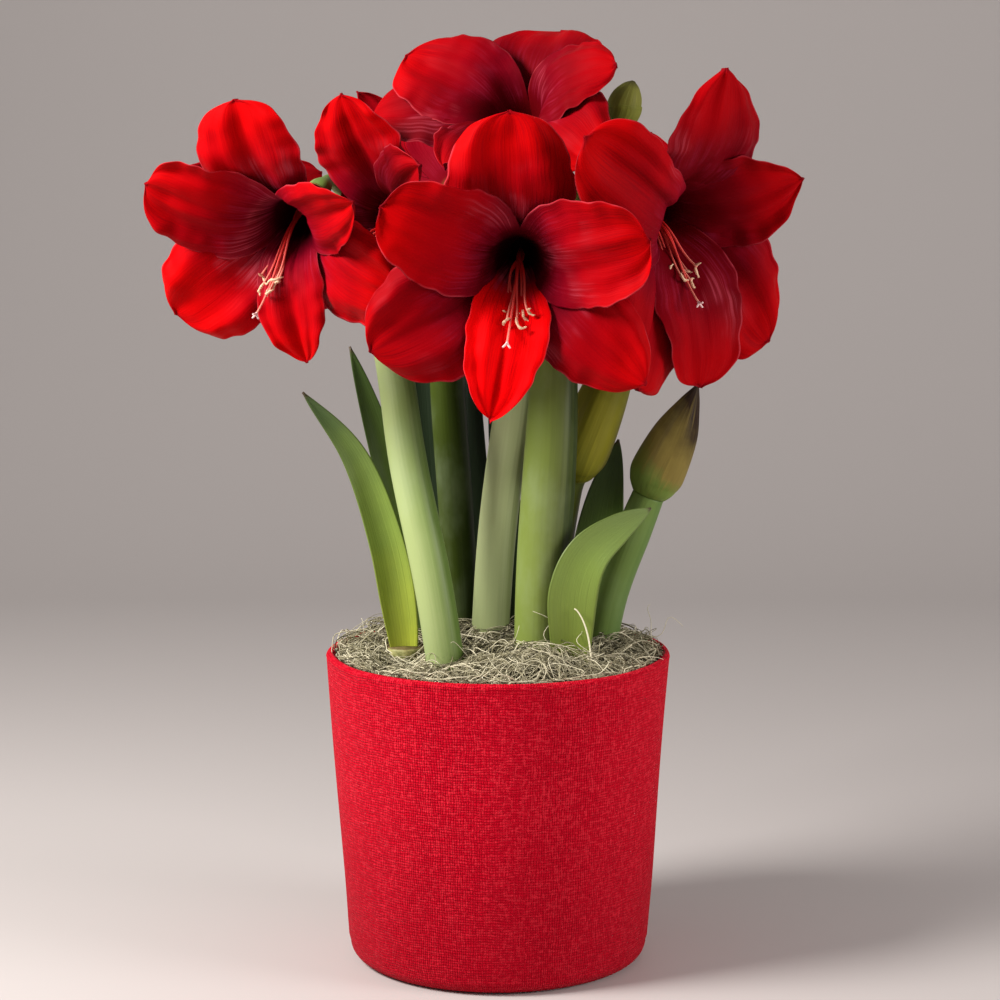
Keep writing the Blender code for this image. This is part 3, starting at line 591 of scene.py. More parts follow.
def petal_finish():
    """Velvet red: black-green in the throat, crimson round it, red further out.

    Thin veins leave the midrib and run out to the edge; here and there they are dark in the
    red, and mauve in the crimson with painted sheen over them.  A tepal whose throat colour
    reaches far is darker nearly to its tip, partly its own colour and partly painted shade,
    and a tepal set below 0 gets a painted highlight.  Pale pink streaks round the throat are
    painted sheen.  The lower side is duller, and its midrib has some green at the foot.
    """
    f = Finish("petal", sheen_weight=0.012, sheen_roughness=0.35, sheen_tint=(1.0, 0.08, 0.14),
               specular_ior_level=0.07, specular_tint=(1.0, 0.06, 0.10))
    along, across, tone = f.place()
    away = abs(across)
    lower = tone.fade(1.4, 1.5)
    deep = tone - UNDER * lower
    fan = away * (1.30 - 0.60 * along)
    vein = f.noise(f.vector(fan * 22.0, along * 2.0, deep * 9.0), 1.0, 3.0, 0.6)
    fine = f.noise(f.vector(fan * 64.0, along * 5.0, deep * 5.0), 1.0)
    cloud = f.grain(42.0, 3.0, 0.55)
    patch = f.grain(19.0)
    reach = along - 0.20 * deep + 0.22 * (cloud - 0.5) + 0.10 * (vein - 0.5)
    colour = f.ramp(reach, (0.13, (0.0022, 0.0028, 0.0015)), (0.21, (0.014, 0.0006, 0.002)),
                    (0.30, (0.075, 0.0010, 0.007)), (0.41, (0.20, 0.0012, 0.010)),
                    (0.58, (0.36, 0.0008, 0.004)), (0.84, (0.50, 0.0008, 0.0014)))
    upper = 1 - lower
    # Painted shade: a high throat value darkens the whole tepal, in random patches, beyond its
    # own dark crimson.
    shade = (deep * 0.95 + 1.1 * (patch - 0.5)).fade(0.0, 1.0)
    # Painted highlight: a tepal set below 0 is painted brighter red out towards its tip.
    painted_highlight = (0.0 - deep).fade(0.0, 0.5) * reach.fade(0.35, 0.60)
    stripe = fine.fade(0.46, 0.66) * reach.fade(0.30, 0.50) * patch.fade(0.36, 0.62)
    near_throat = reach.fade(0.20, 0.30) * (1 - reach.fade(0.40, 0.66))
    # Mauve along the veins near the throat, partly vein colour and partly painted sheen.
    mauve_vein_and_sheen = vein.fade(0.42, 0.70) * near_throat * cloud.fade(0.40, 0.62) * (1 - 0.6 * deep)
    # Pale pink painted sheen in streaks round the throat.
    painted_sheen = f.grain(27.0).fade(0.54, 0.68) * reach.fade(0.24, 0.40)
    painted_sheen = painted_sheen * (1 - reach.fade(0.52, 0.76)) * (0.15 + 0.85 * vein.fade(0.46, 0.66))
    edge = away.fade(0.955, 1.0) * along.fade(0.3, 0.5) * cloud.fade(0.38, 0.58)
    foot = (1 - along.fade(0.06, 0.24)) * lower
    rib = (1 - away.fade(0.02, 0.16)) * (1 - along.fade(0.15, 0.55)) * lower
    colour = f.paint(
        colour,
        (shade * (1 - 0.55 * along.fade(0.62, 0.95)), (0.125, 0.0006, 0.003)),
        (painted_highlight * upper, (0.85, 0.0012, 0.0020)),
        (stripe * 0.42, (0.15, 0.0006, 0.004)),
        (mauve_vein_and_sheen * 0.58, (0.34, 0.026, 0.074)),
        (painted_sheen * (0.56 - 0.32 * deep) * upper, (0.58, 0.080, 0.115)),
        (edge * 0.48, (0.60, 0.070, 0.095)),
        (lower * 0.50, (0.20, 0.002, 0.008)),
        (along.fade(0.972, 0.997) * 0.55, (0.09, 0.004, 0.010)),
        (foot, (0.17, 0.13, 0.035)),
        (rib * 0.8, (0.20, 0.22, 0.05)))
    nap = f.grain(1500.0)
    height = fine * 0.45 + vein * 0.6 + cloud * 0.8 + nap * 0.10
    return f.finished(colour, 0.46 + 0.25 * cloud, height, 0.0006, 0.6)


def green_finish(name, light, middle, shade, dim, waxy=0.2):
    """A stalk: painted light on its left side and painted shade on its right, with fine lines.

    place is (cos, sin, along) of the point's turn about the stalk.
    """
    f = Finish(name, specular_ior_level=0.16)
    cos, sin, along = f.place()
    spot = f.position()
    x, y, z = f.parts(spot)
    line = f.noise(f.vector(cos * 6.5, sin * 6.5, along * 1.6), 1.0, 3.0)
    cloud = f.noise(f.vector(x, y, z * 0.25), 70.0, 3.0)
    # Painted light and shade: the colour runs from the lit colour on the stalk's left to the
    # shade colour on its right.
    painted_shade_side = 0.5 + 0.47 * cos + 0.17 * sin
    colour = f.ramp(painted_shade_side + 0.35 * (line - 0.5) + 0.25 * (cloud - 0.5), (0.16, light),
                    (0.50, middle), (0.82, shade))
    bloom = f.noise(f.vector(x, y, z * 0.6), 32.0, 4.0, 0.6).fade(0.45, 0.75)
    # The waxy bloom shows most on the painted lit side, and the foot is darkened as painted
    # shade.
    colour = f.paint(colour, (bloom * waxy * (1 - 0.6 * painted_shade_side), (0.36, 0.44, 0.28)),
                     (dim * (1 - along.fade(0.02, 0.55)), shade))
    height = line * 0.7 + cloud * 0.4
    return f.finished(colour, 0.40 + 0.22 * bloom, height, 0.0006, 0.4)


def leaf_finish(name, foot, middle, tip):
    """A strap leaf: fresh at the foot, darker to the tip, with level fine veins."""
    f = Finish(name, specular_ior_level=0.30)
    along, across, tone = f.place()
    line = f.noise(f.vector(across * 11.0, along * 1.5, tone), 1.0, 3.0, 0.6)
    cloud = f.grain(60.0, 3.0)
    reach = along + 0.14 * (cloud - 0.5) + 0.08 * (line - 0.5)
    colour = f.ramp(reach, (0.12, foot), (0.50, middle), (0.92, tip))
    dark = tuple(0.35 * part for part in middle)
    colour = f.paint(colour, (line.fade(0.45, 0.70) * 0.13, dark),
                     (abs(across).fade(0.86, 1.0) * 0.5, dark),
                     (along.fade(0.965, 1.0), (0.07, 0.045, 0.025)))
    return f.finished(colour, 0.34 + 0.20 * cloud, line, 0.0006, 0.45)


def bud_finish(name, foot, middle, tip):
    """A papery sheath, green at the foot and brown towards the tip, finely streaked."""
    f = Finish(name, specular_ior_level=0.11)
    cos, sin, along = f.place()
    streak = f.noise(f.vector(cos * 5.5, sin * 5.5, along * 2.0), 1.0, 4.0, 0.6)
    cloud = f.grain(85.0, 3.0)
    reach = along + 0.10 * cos + 0.24 * (streak - 0.5) + 0.25 * (cloud - 0.5)
    colour = f.ramp(reach, (0.28, foot), (0.50, middle), (0.60, middle), (0.86, tip))
    pale = tuple(1.9 * part for part in middle)
    colour = f.paint(colour, (streak.fade(0.52, 0.75) * 0.35, pale),
                     ((1 - streak.fade(0.25, 0.45)) * 0.35, tip),
                     (along.fade(0.92, 1.0) * 0.7, (0.03, 0.02, 0.015)))
    return f.finished(colour, 0.42 + 0.2 * streak, streak, 0.0008, 0.55)


def stamen_finish():
    """Filaments red at the foot and paler outwards; tone 1 is an anther, 2 the stigma."""
    f = Finish("stamen", specular_ior_level=0.3)
    along, _, tone = f.place()
    thread = f.ramp(along, (0.0, (0.30, 0.002, 0.006)), (0.50, (0.70, 0.010, 0.010)),
                    (0.80, (0.78, 0.10, 0.08)), (1.0, (0.84, 0.30, 0.22)))
    grain = f.grain(1900.0)
    pollen = f.blend(grain.fade(0.35, 0.65), (0.55, 0.27, 0.15), (0.92, 0.66, 0.44))
    colour = f.blend(tone.fade(0.4, 0.6), thread, pollen)
    colour = f.blend(tone.fade(1.4, 1.6), colour, (0.86, 0.58, 0.56))
    return f.finished(colour, 0.45 + 0.3 * grain, grain, 0.0003, 0.5)


def weave_finish():
    """Coarse red cloth in plain weave.

    u counts upright threads round the pot and v level ones up it.  A thread's section
    is |sin| across it, and it lies over the other set in every second cell; the higher
    of the two sets shows.  Threads vary in thickness and tone along their length.  The
    gaps between threads are darker as painted shade, pale dashes are brighter on the thread
    crowns as painted highlight, and painted shade darkens the cloth towards the bottom.
    """
    f = Finish("red_weave", sheen_weight=0.07, sheen_roughness=0.3,
               sheen_tint=(1.0, 0.40, 0.45), specular_ior_level=0.08,
               specular_tint=(1.0, 0.35, 0.40))
    spot = f.position()
    x, y, z = f.parts(spot)
    drift = f.grain(75.0, 3.0)
    drift_level = f.noise(f.vector(z, x, y), 80.0, 3.0)
    slub = f.noise(f.vector(x, y, z * 0.20), 360.0)
    slub_level = f.noise(f.vector(x * 0.20, y * 0.20, z), 390.0)
    turn = x.math("ARCTAN2", x, y) * (UPRIGHT_THREADS / (2 * math.pi))
    u = turn + 1.7 * (drift - 0.5) + 1.3 * (slub - 0.5)
    v = z / THREAD_PITCH + 1.5 * (drift_level - 0.5) + 1.2 * (slub_level - 0.5)
    column, row = u.floor(), v.floor()
    upright = abs((u * math.pi).sine()) * (0.5 + 0.5 * (v * math.pi + column * math.pi).sine())
    level = abs((v * math.pi).sine()) * (0.5 - 0.5 * (u * math.pi + row * math.pi).sine())
    upright = upright * (0.35 + 1.2 * slub)
    level = level * (0.35 + 1.2 * slub_level)
    height = upright.largest(level)
    strand = f.node("ShaderNodeTexWhiteNoise", {"noise_dimensions": "2D"},
                    {"Vector": f.vector(column, row, 0.0)})
    # Darker where a thread dips under the other set: painted shade in the gaps between
    # threads.
    colour = f.ramp(height, (0.02, (0.27, 0.0008, 0.006)), (0.28, (0.44, 0.0014, 0.012)),
                    (0.85, (0.55, 0.0022, 0.016)))
    dash = f.noise(f.vector(x * 0.30, y * 0.30, z * 1.3), 700.0, 1.0).largest(
        f.noise(f.vector(x * 1.3, y * 1.3, z * 0.30), 700.0, 1.0))
    streak = f.noise(f.vector(x * 2.2, y * 2.2, z * 0.35), 90.0)
    # Pale thread runs in dashes, made brighter on the high thread crowns as painted highlight.
    light = dash + 0.16 * (strand - 0.5) + 0.12 * (height - 0.3) + 0.16 * (streak - 0.5)
    fleck = f.grain(620.0).fade(0.58, 0.74)
    # The last layer is painted shade, darker towards the bottom of the pot.
    colour = f.paint(colour, (light.fade(0.55, 0.74) * 0.58, (0.78, 0.025, 0.046)),
                     (fleck * 0.50, (0.17, 0.0006, 0.005)),
                     (0.38 * (1 - z.fade(0.010, 0.135)), (0.20, 0.0008, 0.006)))
    fibre = f.grain(2600.0)
    height = height + 0.25 * fibre
    return f.finished(colour, 0.72 + 0.2 * fibre, height, 0.0009, 0.8)


def moss_finish(name, dark, mid, light):
    """Dry moss: each strand has its own tone between grey-brown and straw."""
    f = Finish(name, specular_ior_level=0.25)
    _, _, tone = f.place()
    cloud = f.grain(220.0, 3.0, 0.6)
    colour = f.ramp(tone + 0.35 * (cloud - 0.5), (0.10, dark), (0.50, mid), (0.92, light))
    height = f.grain(1400.0, 3.0)
    return f.finished(colour, 0.75 + 0.2 * cloud, height, 0.0006, 0.6)


def speckled_finish(name, dark, light, scale, roughness, depth):
    """A plain mottled finish for soil, bulb skin and the plastic pot."""
    f = Finish(name, specular_ior_level=0.3)
    grain = f.grain(scale, 5.0, 0.65)
    colour = f.blend(grain.fade(0.35, 0.68), dark, light)
    return f.finished(colour, roughness + 0.15 * grain, grain, depth, 0.7)


# Blooms.

def bloom_frame(bloom):
    """Rows are the bloom's right, its up and its axis, in world directions."""
    turn, lift, roll = (math.radians(a) for a in (bloom.turn, bloom.lift, bloom.roll))
    axis = np.array([math.sin(turn) * math.cos(lift), -math.cos(turn) * math.cos(lift),
                     math.sin(lift)])
    up = unit(np.array([0.0, 0.0, 1.0]) - axis[2] * axis)
    right = np.cross(up, axis)
    return np.array([math.cos(roll) * right + math.sin(roll) * up,
                     math.cos(roll) * up - math.sin(roll) * right, axis])


def tepal_half(tepal, s, t, radius, open_part, uneven_phase, side_phase):
    """Half the width at (s, t).

    It rises as a quarter turn of a sine to the widest place.  Past it, with x from 0 to 1,
    it falls as (1 - x**2.1)**0.72 for a pointed tip or nearly straight to a squared one,
    and ends in a faint nib.  Near the throat it is held under THROAT_BREADTH times the
    distance from the axis.  lop narrows one side, and both sides are a little uneven.
    """
    rise = 0.16 + 0.84 * np.sin(np.pi / 2 * np.clip(s / tepal.widest, 0, 1)) ** 1.25
    on = np.clip((s - tepal.widest) / (0.99 - tepal.widest), 0, 1)
    pointed = (1 - on ** 2.1) ** 0.72
    squared = (1 - 0.34 * on ** 1.2) * (1 - on ** 11) ** 0.5
    nib = 0.10 * np.clip((1 - s) / 0.028, 0, 1)
    fall = np.maximum(pointed + tepal.square * (squared - pointed), nib)
    half = tepal.width / 2 * np.maximum(np.where(s < tepal.widest, rise, fall), 0.02)
    room = THROAT_BREADTH * radius
    half = half * room / (half ** 4 + room ** 4) ** 0.25
    uneven = 0.06 * np.sin(uneven_phase) * np.sign(t) + 0.025 * wave(1.9 * s, side_phase)
    lop = np.abs(tepal.lop)
    narrow = lop * (t * tepal.lop < 0) * smoothstep(s, 0.15, 0.38)
    narrow = narrow * (1 - 0.6 * smoothstep(s, 0.60, 0.92))
    narrow = narrow - 0.10 * lop * (t * tepal.lop > 0) * open_part
    return half * (1.055 + open_part * uneven - narrow)


def tepal_middle(tepal, inner, s, t, rng):
    """Middle surface of a tepal, in its bloom's frame.

    The midrib leaves the tube at TUBE_LEAN from the axis, opens to its full angle by
    0.8 of its length and curls on past 0.6.  Across, the blade is an arc about the axis
    in the tube and flattens to a shallow trough.  The edges wave slowly, as the solid's
    do, and are ruffled on top of that by two shorter waves that grow towards the edge,
    which rolls up or back.  Broad folds and a fine crumple cross the open part, and the
    outline is slightly notched.  The inner whorl lies in front of the outer one.
    """
    line = np.linspace(0.0, 1.0, 161)
    angle = np.radians(TUBE_LEAN + (tepal.opening - TUBE_LEAN) * smoothstep(line, 0.22, 0.80)
                       + tepal.curl * np.clip((line - 0.6) / 0.4, 0, 1) ** 2)

    def run(slope):
        """Length travelled up to each place, for a slope along the midrib."""
        steps = (slope[1:] + slope[:-1]) / 2 * tepal.length / (len(line) - 1)
        return np.concatenate([[0.0], np.cumsum(steps)])

    lean = np.interp(s, line, angle)
    radius = np.interp(s, line, TUBE_RADIUS + run(np.sin(angle)))
    height = np.interp(s, line, run(np.cos(angle)))
    open_part = smoothstep(s, 0.38, 0.62)
    tip = smoothstep(s, 0.85, 1.0)
    turns = rng.uniform(0, 2 * np.pi, 10)
    side_phase = np.where(t > 0, turns[0], turns[1])
    half = tepal_half(tepal, s, t, radius, open_part, turns[6], side_phase)

    tube_share = 1 - smoothstep(s, 0.30, 0.62)
    bend = tube_share / radius + (1 - tube_share) * OPEN_BEND
    across = np.sin(bend * half * t) / bend
    trough = (1 - np.cos(bend * half * t)) / bend

    edge = open_part * (1 - 0.5 * tip) * np.abs(t) ** 1.7
    phase = tepal.direction * 0.05 + np.where(t > 0, 0.0, 1.9)
    ruffle = wave(5.1 * s, side_phase) + 0.7 * wave(9.3 * s, -side_phase)
    relief = (EDGE_WAVE * edge * wave(2.2 * s, phase)
              + EDGE_RUFFLE * open_part * np.abs(t) ** 2.6 * ruffle)
    between = (-0.0015, 0.0030) if inner else (-0.0055, -0.0005)
    roll = np.where(t > 0, *rng.uniform(*between, 2))
    relief = relief + roll * open_part * smoothstep(np.abs(t), 0.55, 1.0) ** 2
    fold = 0.6 * wave(0.85 * t + 0.45 * s, turns[2]) + 0.4 * wave(1.6 * t - 0.7 * s, turns[3])
    crumple = wave(1.9 * t + 2.6 * s, turns[7]) * wave(3.3 * s - 1.1 * t, turns[8])
    relief = relief + open_part * (1 - 0.7 * tip) * (BROAD_FOLD * fold + CRUMPLE * crumple)
    relief = relief + np.sin(turns[5]) * TIP_TURN * smoothstep(s, 0.86, 1.0)
    groove = MIDRIB_GROOVE * np.exp(-(t / 0.13) ** 2) * smoothstep(s, 0.25, 0.5) * (1 - tip)
    step = WHORL_STEP + WHORL_SPREAD * smoothstep(s, 0.25, 0.60)
    raised = trough + relief - groove + (step if inner else -step)
    across = across + tepal.sweep * tepal.length * smoothstep(s, 0.3, 1.15) * s
    notch = wave(6.0 * s, side_phase) + 0.6 * wave(10.7 * s, turns[4])
    notch = EDGE_NOTCH * open_part * np.sign(t) * np.abs(t) ** 2 * notch * (1 - s ** 6)
    across = across + notch

    way = math.radians(tepal.direction)
    outward = np.array([math.cos(way), math.sin(way), 0.0])
    side = np.array([-math.sin(way), math.cos(way), 0.0])
    axis = np.array([0.0, 0.0, 1.0])
    inner_side = -np.cos(lean)[..., None] * outward + np.sin(lean)[..., None] * axis
    return (radius[..., None] * outward + height[..., None] * axis
            + across[..., None] * side + raised[..., None] * inner_side)


def tepal_form(tepal, inner, bloom, rows, columns, rng):
    """A tepal with its veins raised on the upper side as rounded ridges."""
    along = 1 - (1 - np.linspace(0, 1, rows)) ** 1.3
    spread = 0.4 * np.pi
    across = np.sin(np.linspace(-1, 1, columns) * spread) / math.sin(spread)
    s, t = np.meshgrid(along, across, indexing="ij")
    middle = tepal_middle(tepal, inner, s, t, rng) @ bloom_frame(bloom) + np.array(bloom.base)
    fan = np.abs(t) * (1.30 - 0.60 * s)
    ridge = wave(7.5 * fan, 1.2 * np.sin(6 * s + tepal.direction))
    relief = VEIN_HEIGHT * ridge * smoothstep(s, 0.2, 0.5) * (1 - smoothstep(s, 0.85, 1.0))
    return blade_form(middle, TEPAL_THICKNESS, s, t, tepal.deep, relief)


def bloom_piece(key, bloom, finish):
    """Six tepals on the short receptacle that they grow from."""
    rows, columns = HIDDEN_GRID if key in TURNED_AWAY else TEPAL_GRID
    rng = np.random.default_rng([7, *map(ord, key)])
    frame_rows, base = bloom_frame(bloom), np.array(bloom.base)
    forms = [tepal_form(tepal, k % 2 == 1, bloom, rows, columns, rng)
             for k, tepal in enumerate(bloom.tepals)]
    heights = np.array([RECEPTACLE_BOTTOM, 0.0, 0.002, RECEPTACLE_TOP])
    path = base + heights[:, None] * frame_rows[2]
    radii = RECEPTACLE_RADIUS * np.array([0.86, 1.0, 0.98, 0.7])
    tones = toned(1, 4, [[UNDER], [UNDER], [0.0], [0.0]])
    forms.append(tube_form(path[None], radii, 32, tones))
    make_piece("petals_" + key, forms, finish, ["bloom_" + key])


# Stamens.

def filament_paths(bloom, rows):
    """Middle lines of the filaments: out, sagging, with the last third turned up."""
    reach, drop, aside = (np.array(c)[:, None] for c in zip(*STAMENS))
    t = np.linspace(0.0, 1.0, rows)[None, :]
    down = drop * bloom.sag * (t ** 2.3 - 0.25 * np.clip((t - 0.7) / 0.3, 0, 1) ** 2)
    out = RECEPTACLE_TOP + 0.0013 + reach * bloom.reach * t
    level = (0.60 * aside + bloom.swing) * t ** 1.7
    return np.stack([level, -down, out], -1) @ bloom_frame(bloom) + np.array(bloom.base)


def stamens_piece(key, bloom, finish):
    """Six filaments with curled anthers, and the longer style with its three lobes."""
    rng = np.random.default_rng([11, *map(ord, key)])
    rows = 26
    paths = filament_paths(bloom, rows)
    share = np.linspace(0.0, 1.0, rows)
    bend = rng.normal(size=(len(paths), 1, 3)) * np.sin(np.pi * share)[:, None]
    paths = paths + 0.0011 * bend * np.sin(2.2 * np.pi * share + 0.6)[:, None]
    place = np.zeros((len(paths), rows, 1, 3))
    place[..., 0] = share[:, None]
    taper = FILAMENT_RADIUS * (1.25 - 0.5 * share)
    forms = [tube_form(paths, taper, 10, place)]

    # An anther is a twisted arc that hangs from the end of its filament.
    arc = np.linspace(-1.0, 1.0, 13)
    ends = paths[:-1, -1]
    way = unit(paths[:-1, -1] - paths[:-1, -3])
    lay = unit(rng.normal(size=way.shape) * [1.0, 0.5, 0.6] - [0.0, 0.0, 0.9])
    hook = unit(np.cross(way, lay))
    length = rng.uniform(0.0034, 0.0056, (len(ends), 1, 1))
    curl = rng.uniform(0.6, 1.7, (len(ends), 1))
    bent = np.stack([np.sin(curl * arc) / curl, (1 - np.cos(curl * arc)) / curl], -1)
    wriggle = 0.22 * np.sin(3.4 * arc + rng.uniform(0, 6.3, (len(ends), 1)))
    twist = wriggle[..., None] * way[:, None]
    anthers = (ends + 0.4 * length[:, 0] * lay)[:, None] + length * (
        bent[..., :1] * lay[:, None] + bent[..., 1:] * hook[:, None] + twist)
    thick = 0.00082 * np.sqrt(1 - 0.90 * arc ** 2) * (1 + 0.22 * np.sin(9.0 * arc))
    forms.append(tube_form(anthers, thick, 10, toned(len(ends), len(arc), 1.0)))

    # The stigma's three lobes spread from the end of the style.
    tip = paths[-1, -1]
    along = unit(paths[-1, -1] - paths[-1, -3])
    side = unit(np.cross(along, [0.0, 0.0, 1.0]))
    other = np.cross(along, side)
    angle = once_round(3)[:, None] + 0.4
    out = np.cos(angle) * side + np.sin(angle) * other
    grow = np.linspace(0.0, 1.0, 9)[None, :, None]
    lobes = tip + 0.0030 * grow * along + 0.0024 * grow ** 1.6 * out[:, None]
    thick = 0.0007 * (1.05 - 0.3 * grow[0, :, 0])
    forms.append(tube_form(lobes, thick, 10, toned(3, 9, 2.0)))
    make_piece("stamens_fine_" + key, forms, finish, ["stamens_" + key])


# Stalks, buds and leaves.

def stem_form(path, radii, sides, section=None):
    """A round stem; its place is (cos, sin, along) of each point's turn about it."""
    turn = once_round(sides)
    share = np.linspace(0.0, 1.0, len(path))[:, None]
    place = np.stack(np.broadcast_arrays(np.cos(turn)[None], np.sin(turn)[None], share), -1)
    return tube_form(path[None], radii, sides, place[None], section)


def pedicel_form(bloom, umbel):
    """The stem from the umbel to a bloom, swelling into the three-lobed ovary."""
    axis, base = bloom_frame(bloom)[2], np.array(bloom.base)
    ovary_top = base + axis * (RECEPTACLE_BOTTOM - 0.0003)
    ovary_foot = ovary_top - axis * OVARY_LENGTH
    start = umbel - np.array([0.0, 0.0, 0.006])
    span = np.linalg.norm(ovary_foot - start)
    leave = start + np.array([0.0, 0.0, 0.4]) * span
    arrive = ovary_foot - axis * 0.3 * span
    bend_rows, ovary_rows, sides = 22, 14, 24
    u = np.linspace(0.0, 1.0, bend_rows)[:, None]
    bend = (start * (1 - u) ** 3 + leave * 3 * u * (1 - u) ** 2
            + arrive * 3 * u ** 2 * (1 - u) + ovary_foot * u ** 3)
    shares = np.linspace(0.08, 1.0, ovary_rows)[:, None]
    path = np.concatenate([bend, ovary_foot + (ovary_top - ovary_foot) * shares])
    bulge = np.sin(np.pi * np.clip(shares[:, 0], 0, 0.86) * 0.9)
    ovary = PEDICEL_RADIUS + (OVARY_RADIUS - PEDICEL_RADIUS) * bulge
    radii = np.concatenate([np.full(bend_rows, PEDICEL_RADIUS), ovary])
    lobes = 1 + 0.07 * np.cos(3 * once_round(sides))
    section = np.concatenate([np.ones((bend_rows, sides)), np.ones((ovary_rows, 1)) * lobes])
    return stem_form(path, radii, sides, section[None])


def stalk_piece(name, stalk, node):
    """A stalk with its umbel, pedicels and ovaries."""
    rows, sides = 60, 48
    path = smooth_path(stalk.points, rows)
    radii = smooth_values(stalk.radii, rows)
    finish = green_finish(name, *stalk.tones, stalk.dim)
    dome = np.array([0.002, 0.0035, 0.004]) if stalk.blooms else np.zeros(0)
    top = path[-1] + dome[:, None] * np.array([0.0, 0.0, 1.0])
    path = np.concatenate([path, top])
    radii = np.concatenate([radii, radii[-1] * np.array([0.95, 0.80, 0.60])[:len(dome)]])
    ridges = 1 + 0.005 * np.cos(7 * once_round(sides))
    forms = [stem_form(path, radii, sides, ridges[None, None])]
    forms += [pedicel_form(BLOOMS[key], path[-1]) for key in stalk.blooms]
    if stalk.thin_stem:
        thin = smooth_path(stalk.thin_stem, 30)
        forms.append(stem_form(thin, np.full(len(thin), YOUNG_BUD_STEM_RADIUS), 20))
    make_piece(name, forms, finish, [node])


def bud_piece(key, stem, bud):
    """A closed bud: a flattened pointed sheath whose two valves meet in a low seam."""
    guide = smooth_path(stem, 6)
    way = unit(guide[-1] - guide[-2])
    foot = guide[-1] + way * 0.0003
    tip = np.array(bud.tip)
    start = foot + way * 0.004
    bent = smooth_path([start, start + way * 0.012, foot + (tip - foot) * 0.6, tip], 7)
    rows, sides = 64, 40
    path = smooth_path([foot, *bent], rows)
    share = np.linspace(0.0, 1.0, rows)
    at, radii = (smooth_values(values, 200) for values in zip(*bud.profile))
    radii = np.interp(share, at, radii)
    turn = np.arange(sides) / sides
    seam = 1 - 0.035 * np.exp(-(((turn * 2 + 0.25) % 1.0 - 0.5) / 0.06) ** 2)[None]
    fold = smoothstep(share, 0.08, 0.3)[:, None]
    section = 1 + (seam - 1) * fold + 0.015 * fold * np.cos(12 * np.pi * turn)[None]
    form = stem_form(path, radii, sides, section[None])
    finish = bud_finish("bud_" + key + "_sheath", *bud.tones)
    make_piece("bud_fine_" + key, [form], finish, ["bud_" + key])


def leaf_piece(key, leaf):
    """A strap leaf: widest at a third, pointed, a channel along it and low parallel veins."""
    rows, columns = 90, 33
    path = smooth_path(leaf.points, rows)
    s, t = np.meshgrid(np.linspace(0, 1, rows), np.linspace(-1, 1, columns), indexing="ij")
    along = unit(np.gradient(path, axis=0))
    side = unit(np.cross(np.array(leaf.face), along))
    face = np.cross(along, side)
    half = leaf.width / 2 * (0.62 + 0.38 * smoothstep(s, 0.0, 0.4)) * (1 - s ** 3.2) ** 0.8
    half = np.maximum(half, 0.0005)
    lift = leaf.channel * t ** 2 * half / (leaf.width / 2)
    middle = (path[:, None] + (half * t)[..., None] * side[:, None]
              + lift[..., None] * face[:, None])
    relief = 0.00004 * np.cos(2 * np.pi * 5.5 * t) * (1 - smoothstep(s, 0.85, 1.0))
    finish = leaf_finish("leaf_" + key + "_skin", leaf.foot, leaf.middle, leaf.tip)
    form = blade_form(middle, LEAF_THICKNESS, s, t, LEAF_TONE, relief)
    make_piece("leaf_fine_" + key, [form], finish, ["leaf_" + key])


# Pot, moss and bulb neck.

def pot_radius(z):
    """Outside of the cover at height z."""
    return BASE_RADIUS + (RIM_RADIUS - BASE_RADIUS) * z / POT_HEIGHT


def turned_form(profile, sides, wobble):
    """A closed (radius, height) loop turned about Z, listed up the outer side first.

    wobble(angle, height) is added to the radius.
    """
    radius, height = np.array(profile).T
    angle = once_round(sides)
    reach = radius[None] + wobble(angle[:, None], height[None])
    ring = np.stack([reach * np.cos(angle)[:, None], reach * np.sin(angle)[:, None],
                     np.broadcast_to(height, reach.shape)], -1)
    count = len(profile)
    i, j = np.meshgrid(np.arange(sides), np.arange(count), indexing="ij")
    here, beyond = (i + 1) % sides, (j + 1) % count
    quads = np.stack([i * count + j, here * count + j, here * count + beyond,
                      i * count + beyond], -1).reshape(-1, 4)
    points = ring.reshape(-1, 3)
    return Form(points, quads, np.zeros((0, 3), int), np.zeros_like(points))


def cover_piece():
    """The woven cover: up the side, rolled softly over the rim and turned in."""
    corner_r, corner_z = BASE_RADIUS - CORNER_RADIUS, CORNER_RADIUS + FLOOR_GAP
    right, shoulder = math.pi / 2, POT_HEIGHT - ROLL_HEIGHT

    def bottom_corner(radius, start, end, count):
        return [(corner_r + radius * math.cos(a), corner_z - radius * math.sin(a))
                for a in np.linspace(start, end, count)]

    def wall(inset, start, end, count):
        return [(pot_radius(z) - inset, z) for z in np.linspace(start, end, count)]

    corner = bottom_corner(CORNER_RADIUS, right, 0.0, 12)
    side = wall(0.0, SIDE_BOTTOM, shoulder, 60)
    roll = [(pot_radius(POT_HEIGHT) - RIM_WIDTH / 2 * (1 - math.cos(a)),
             shoulder + ROLL_HEIGHT * math.sin(a)) for a in np.linspace(0.15, math.pi, 14)]
    inner = wall(RIM_WIDTH, POT_HEIGHT - 0.004, FOLD_BOTTOM, 6)
    back = wall(RIM_WIDTH - COVER_THICKNESS, FOLD_BOTTOM, shoulder, 5)
    down = wall(COVER_THICKNESS, POT_HEIGHT - 0.0035, SIDE_BOTTOM, 30)
    under = bottom_corner(CORNER_RADIUS - COVER_THICKNESS, 0.0, right, 8)
    foot = [(FOOT_RING, FLOOR_GAP + COVER_THICKNESS), (FOOT_RING, FLOOR_GAP)]

    def wobble(angle, height):
        """Slow unevenness of the cloth, nothing at the foot."""
        rise = smoothstep(height, 0.01, 0.06)
        return rise * (0.00035 * np.sin(5 * angle + 1.0 + 30 * height)
                       + 0.00025 * np.sin(11 * angle + 2.0 - 22 * height))

    profile = corner + side + roll + inner + back + down + under + foot
    make_piece("cover_weave", [turned_form(profile, 288, wobble)], weave_finish(),
               ["pot_cover"])


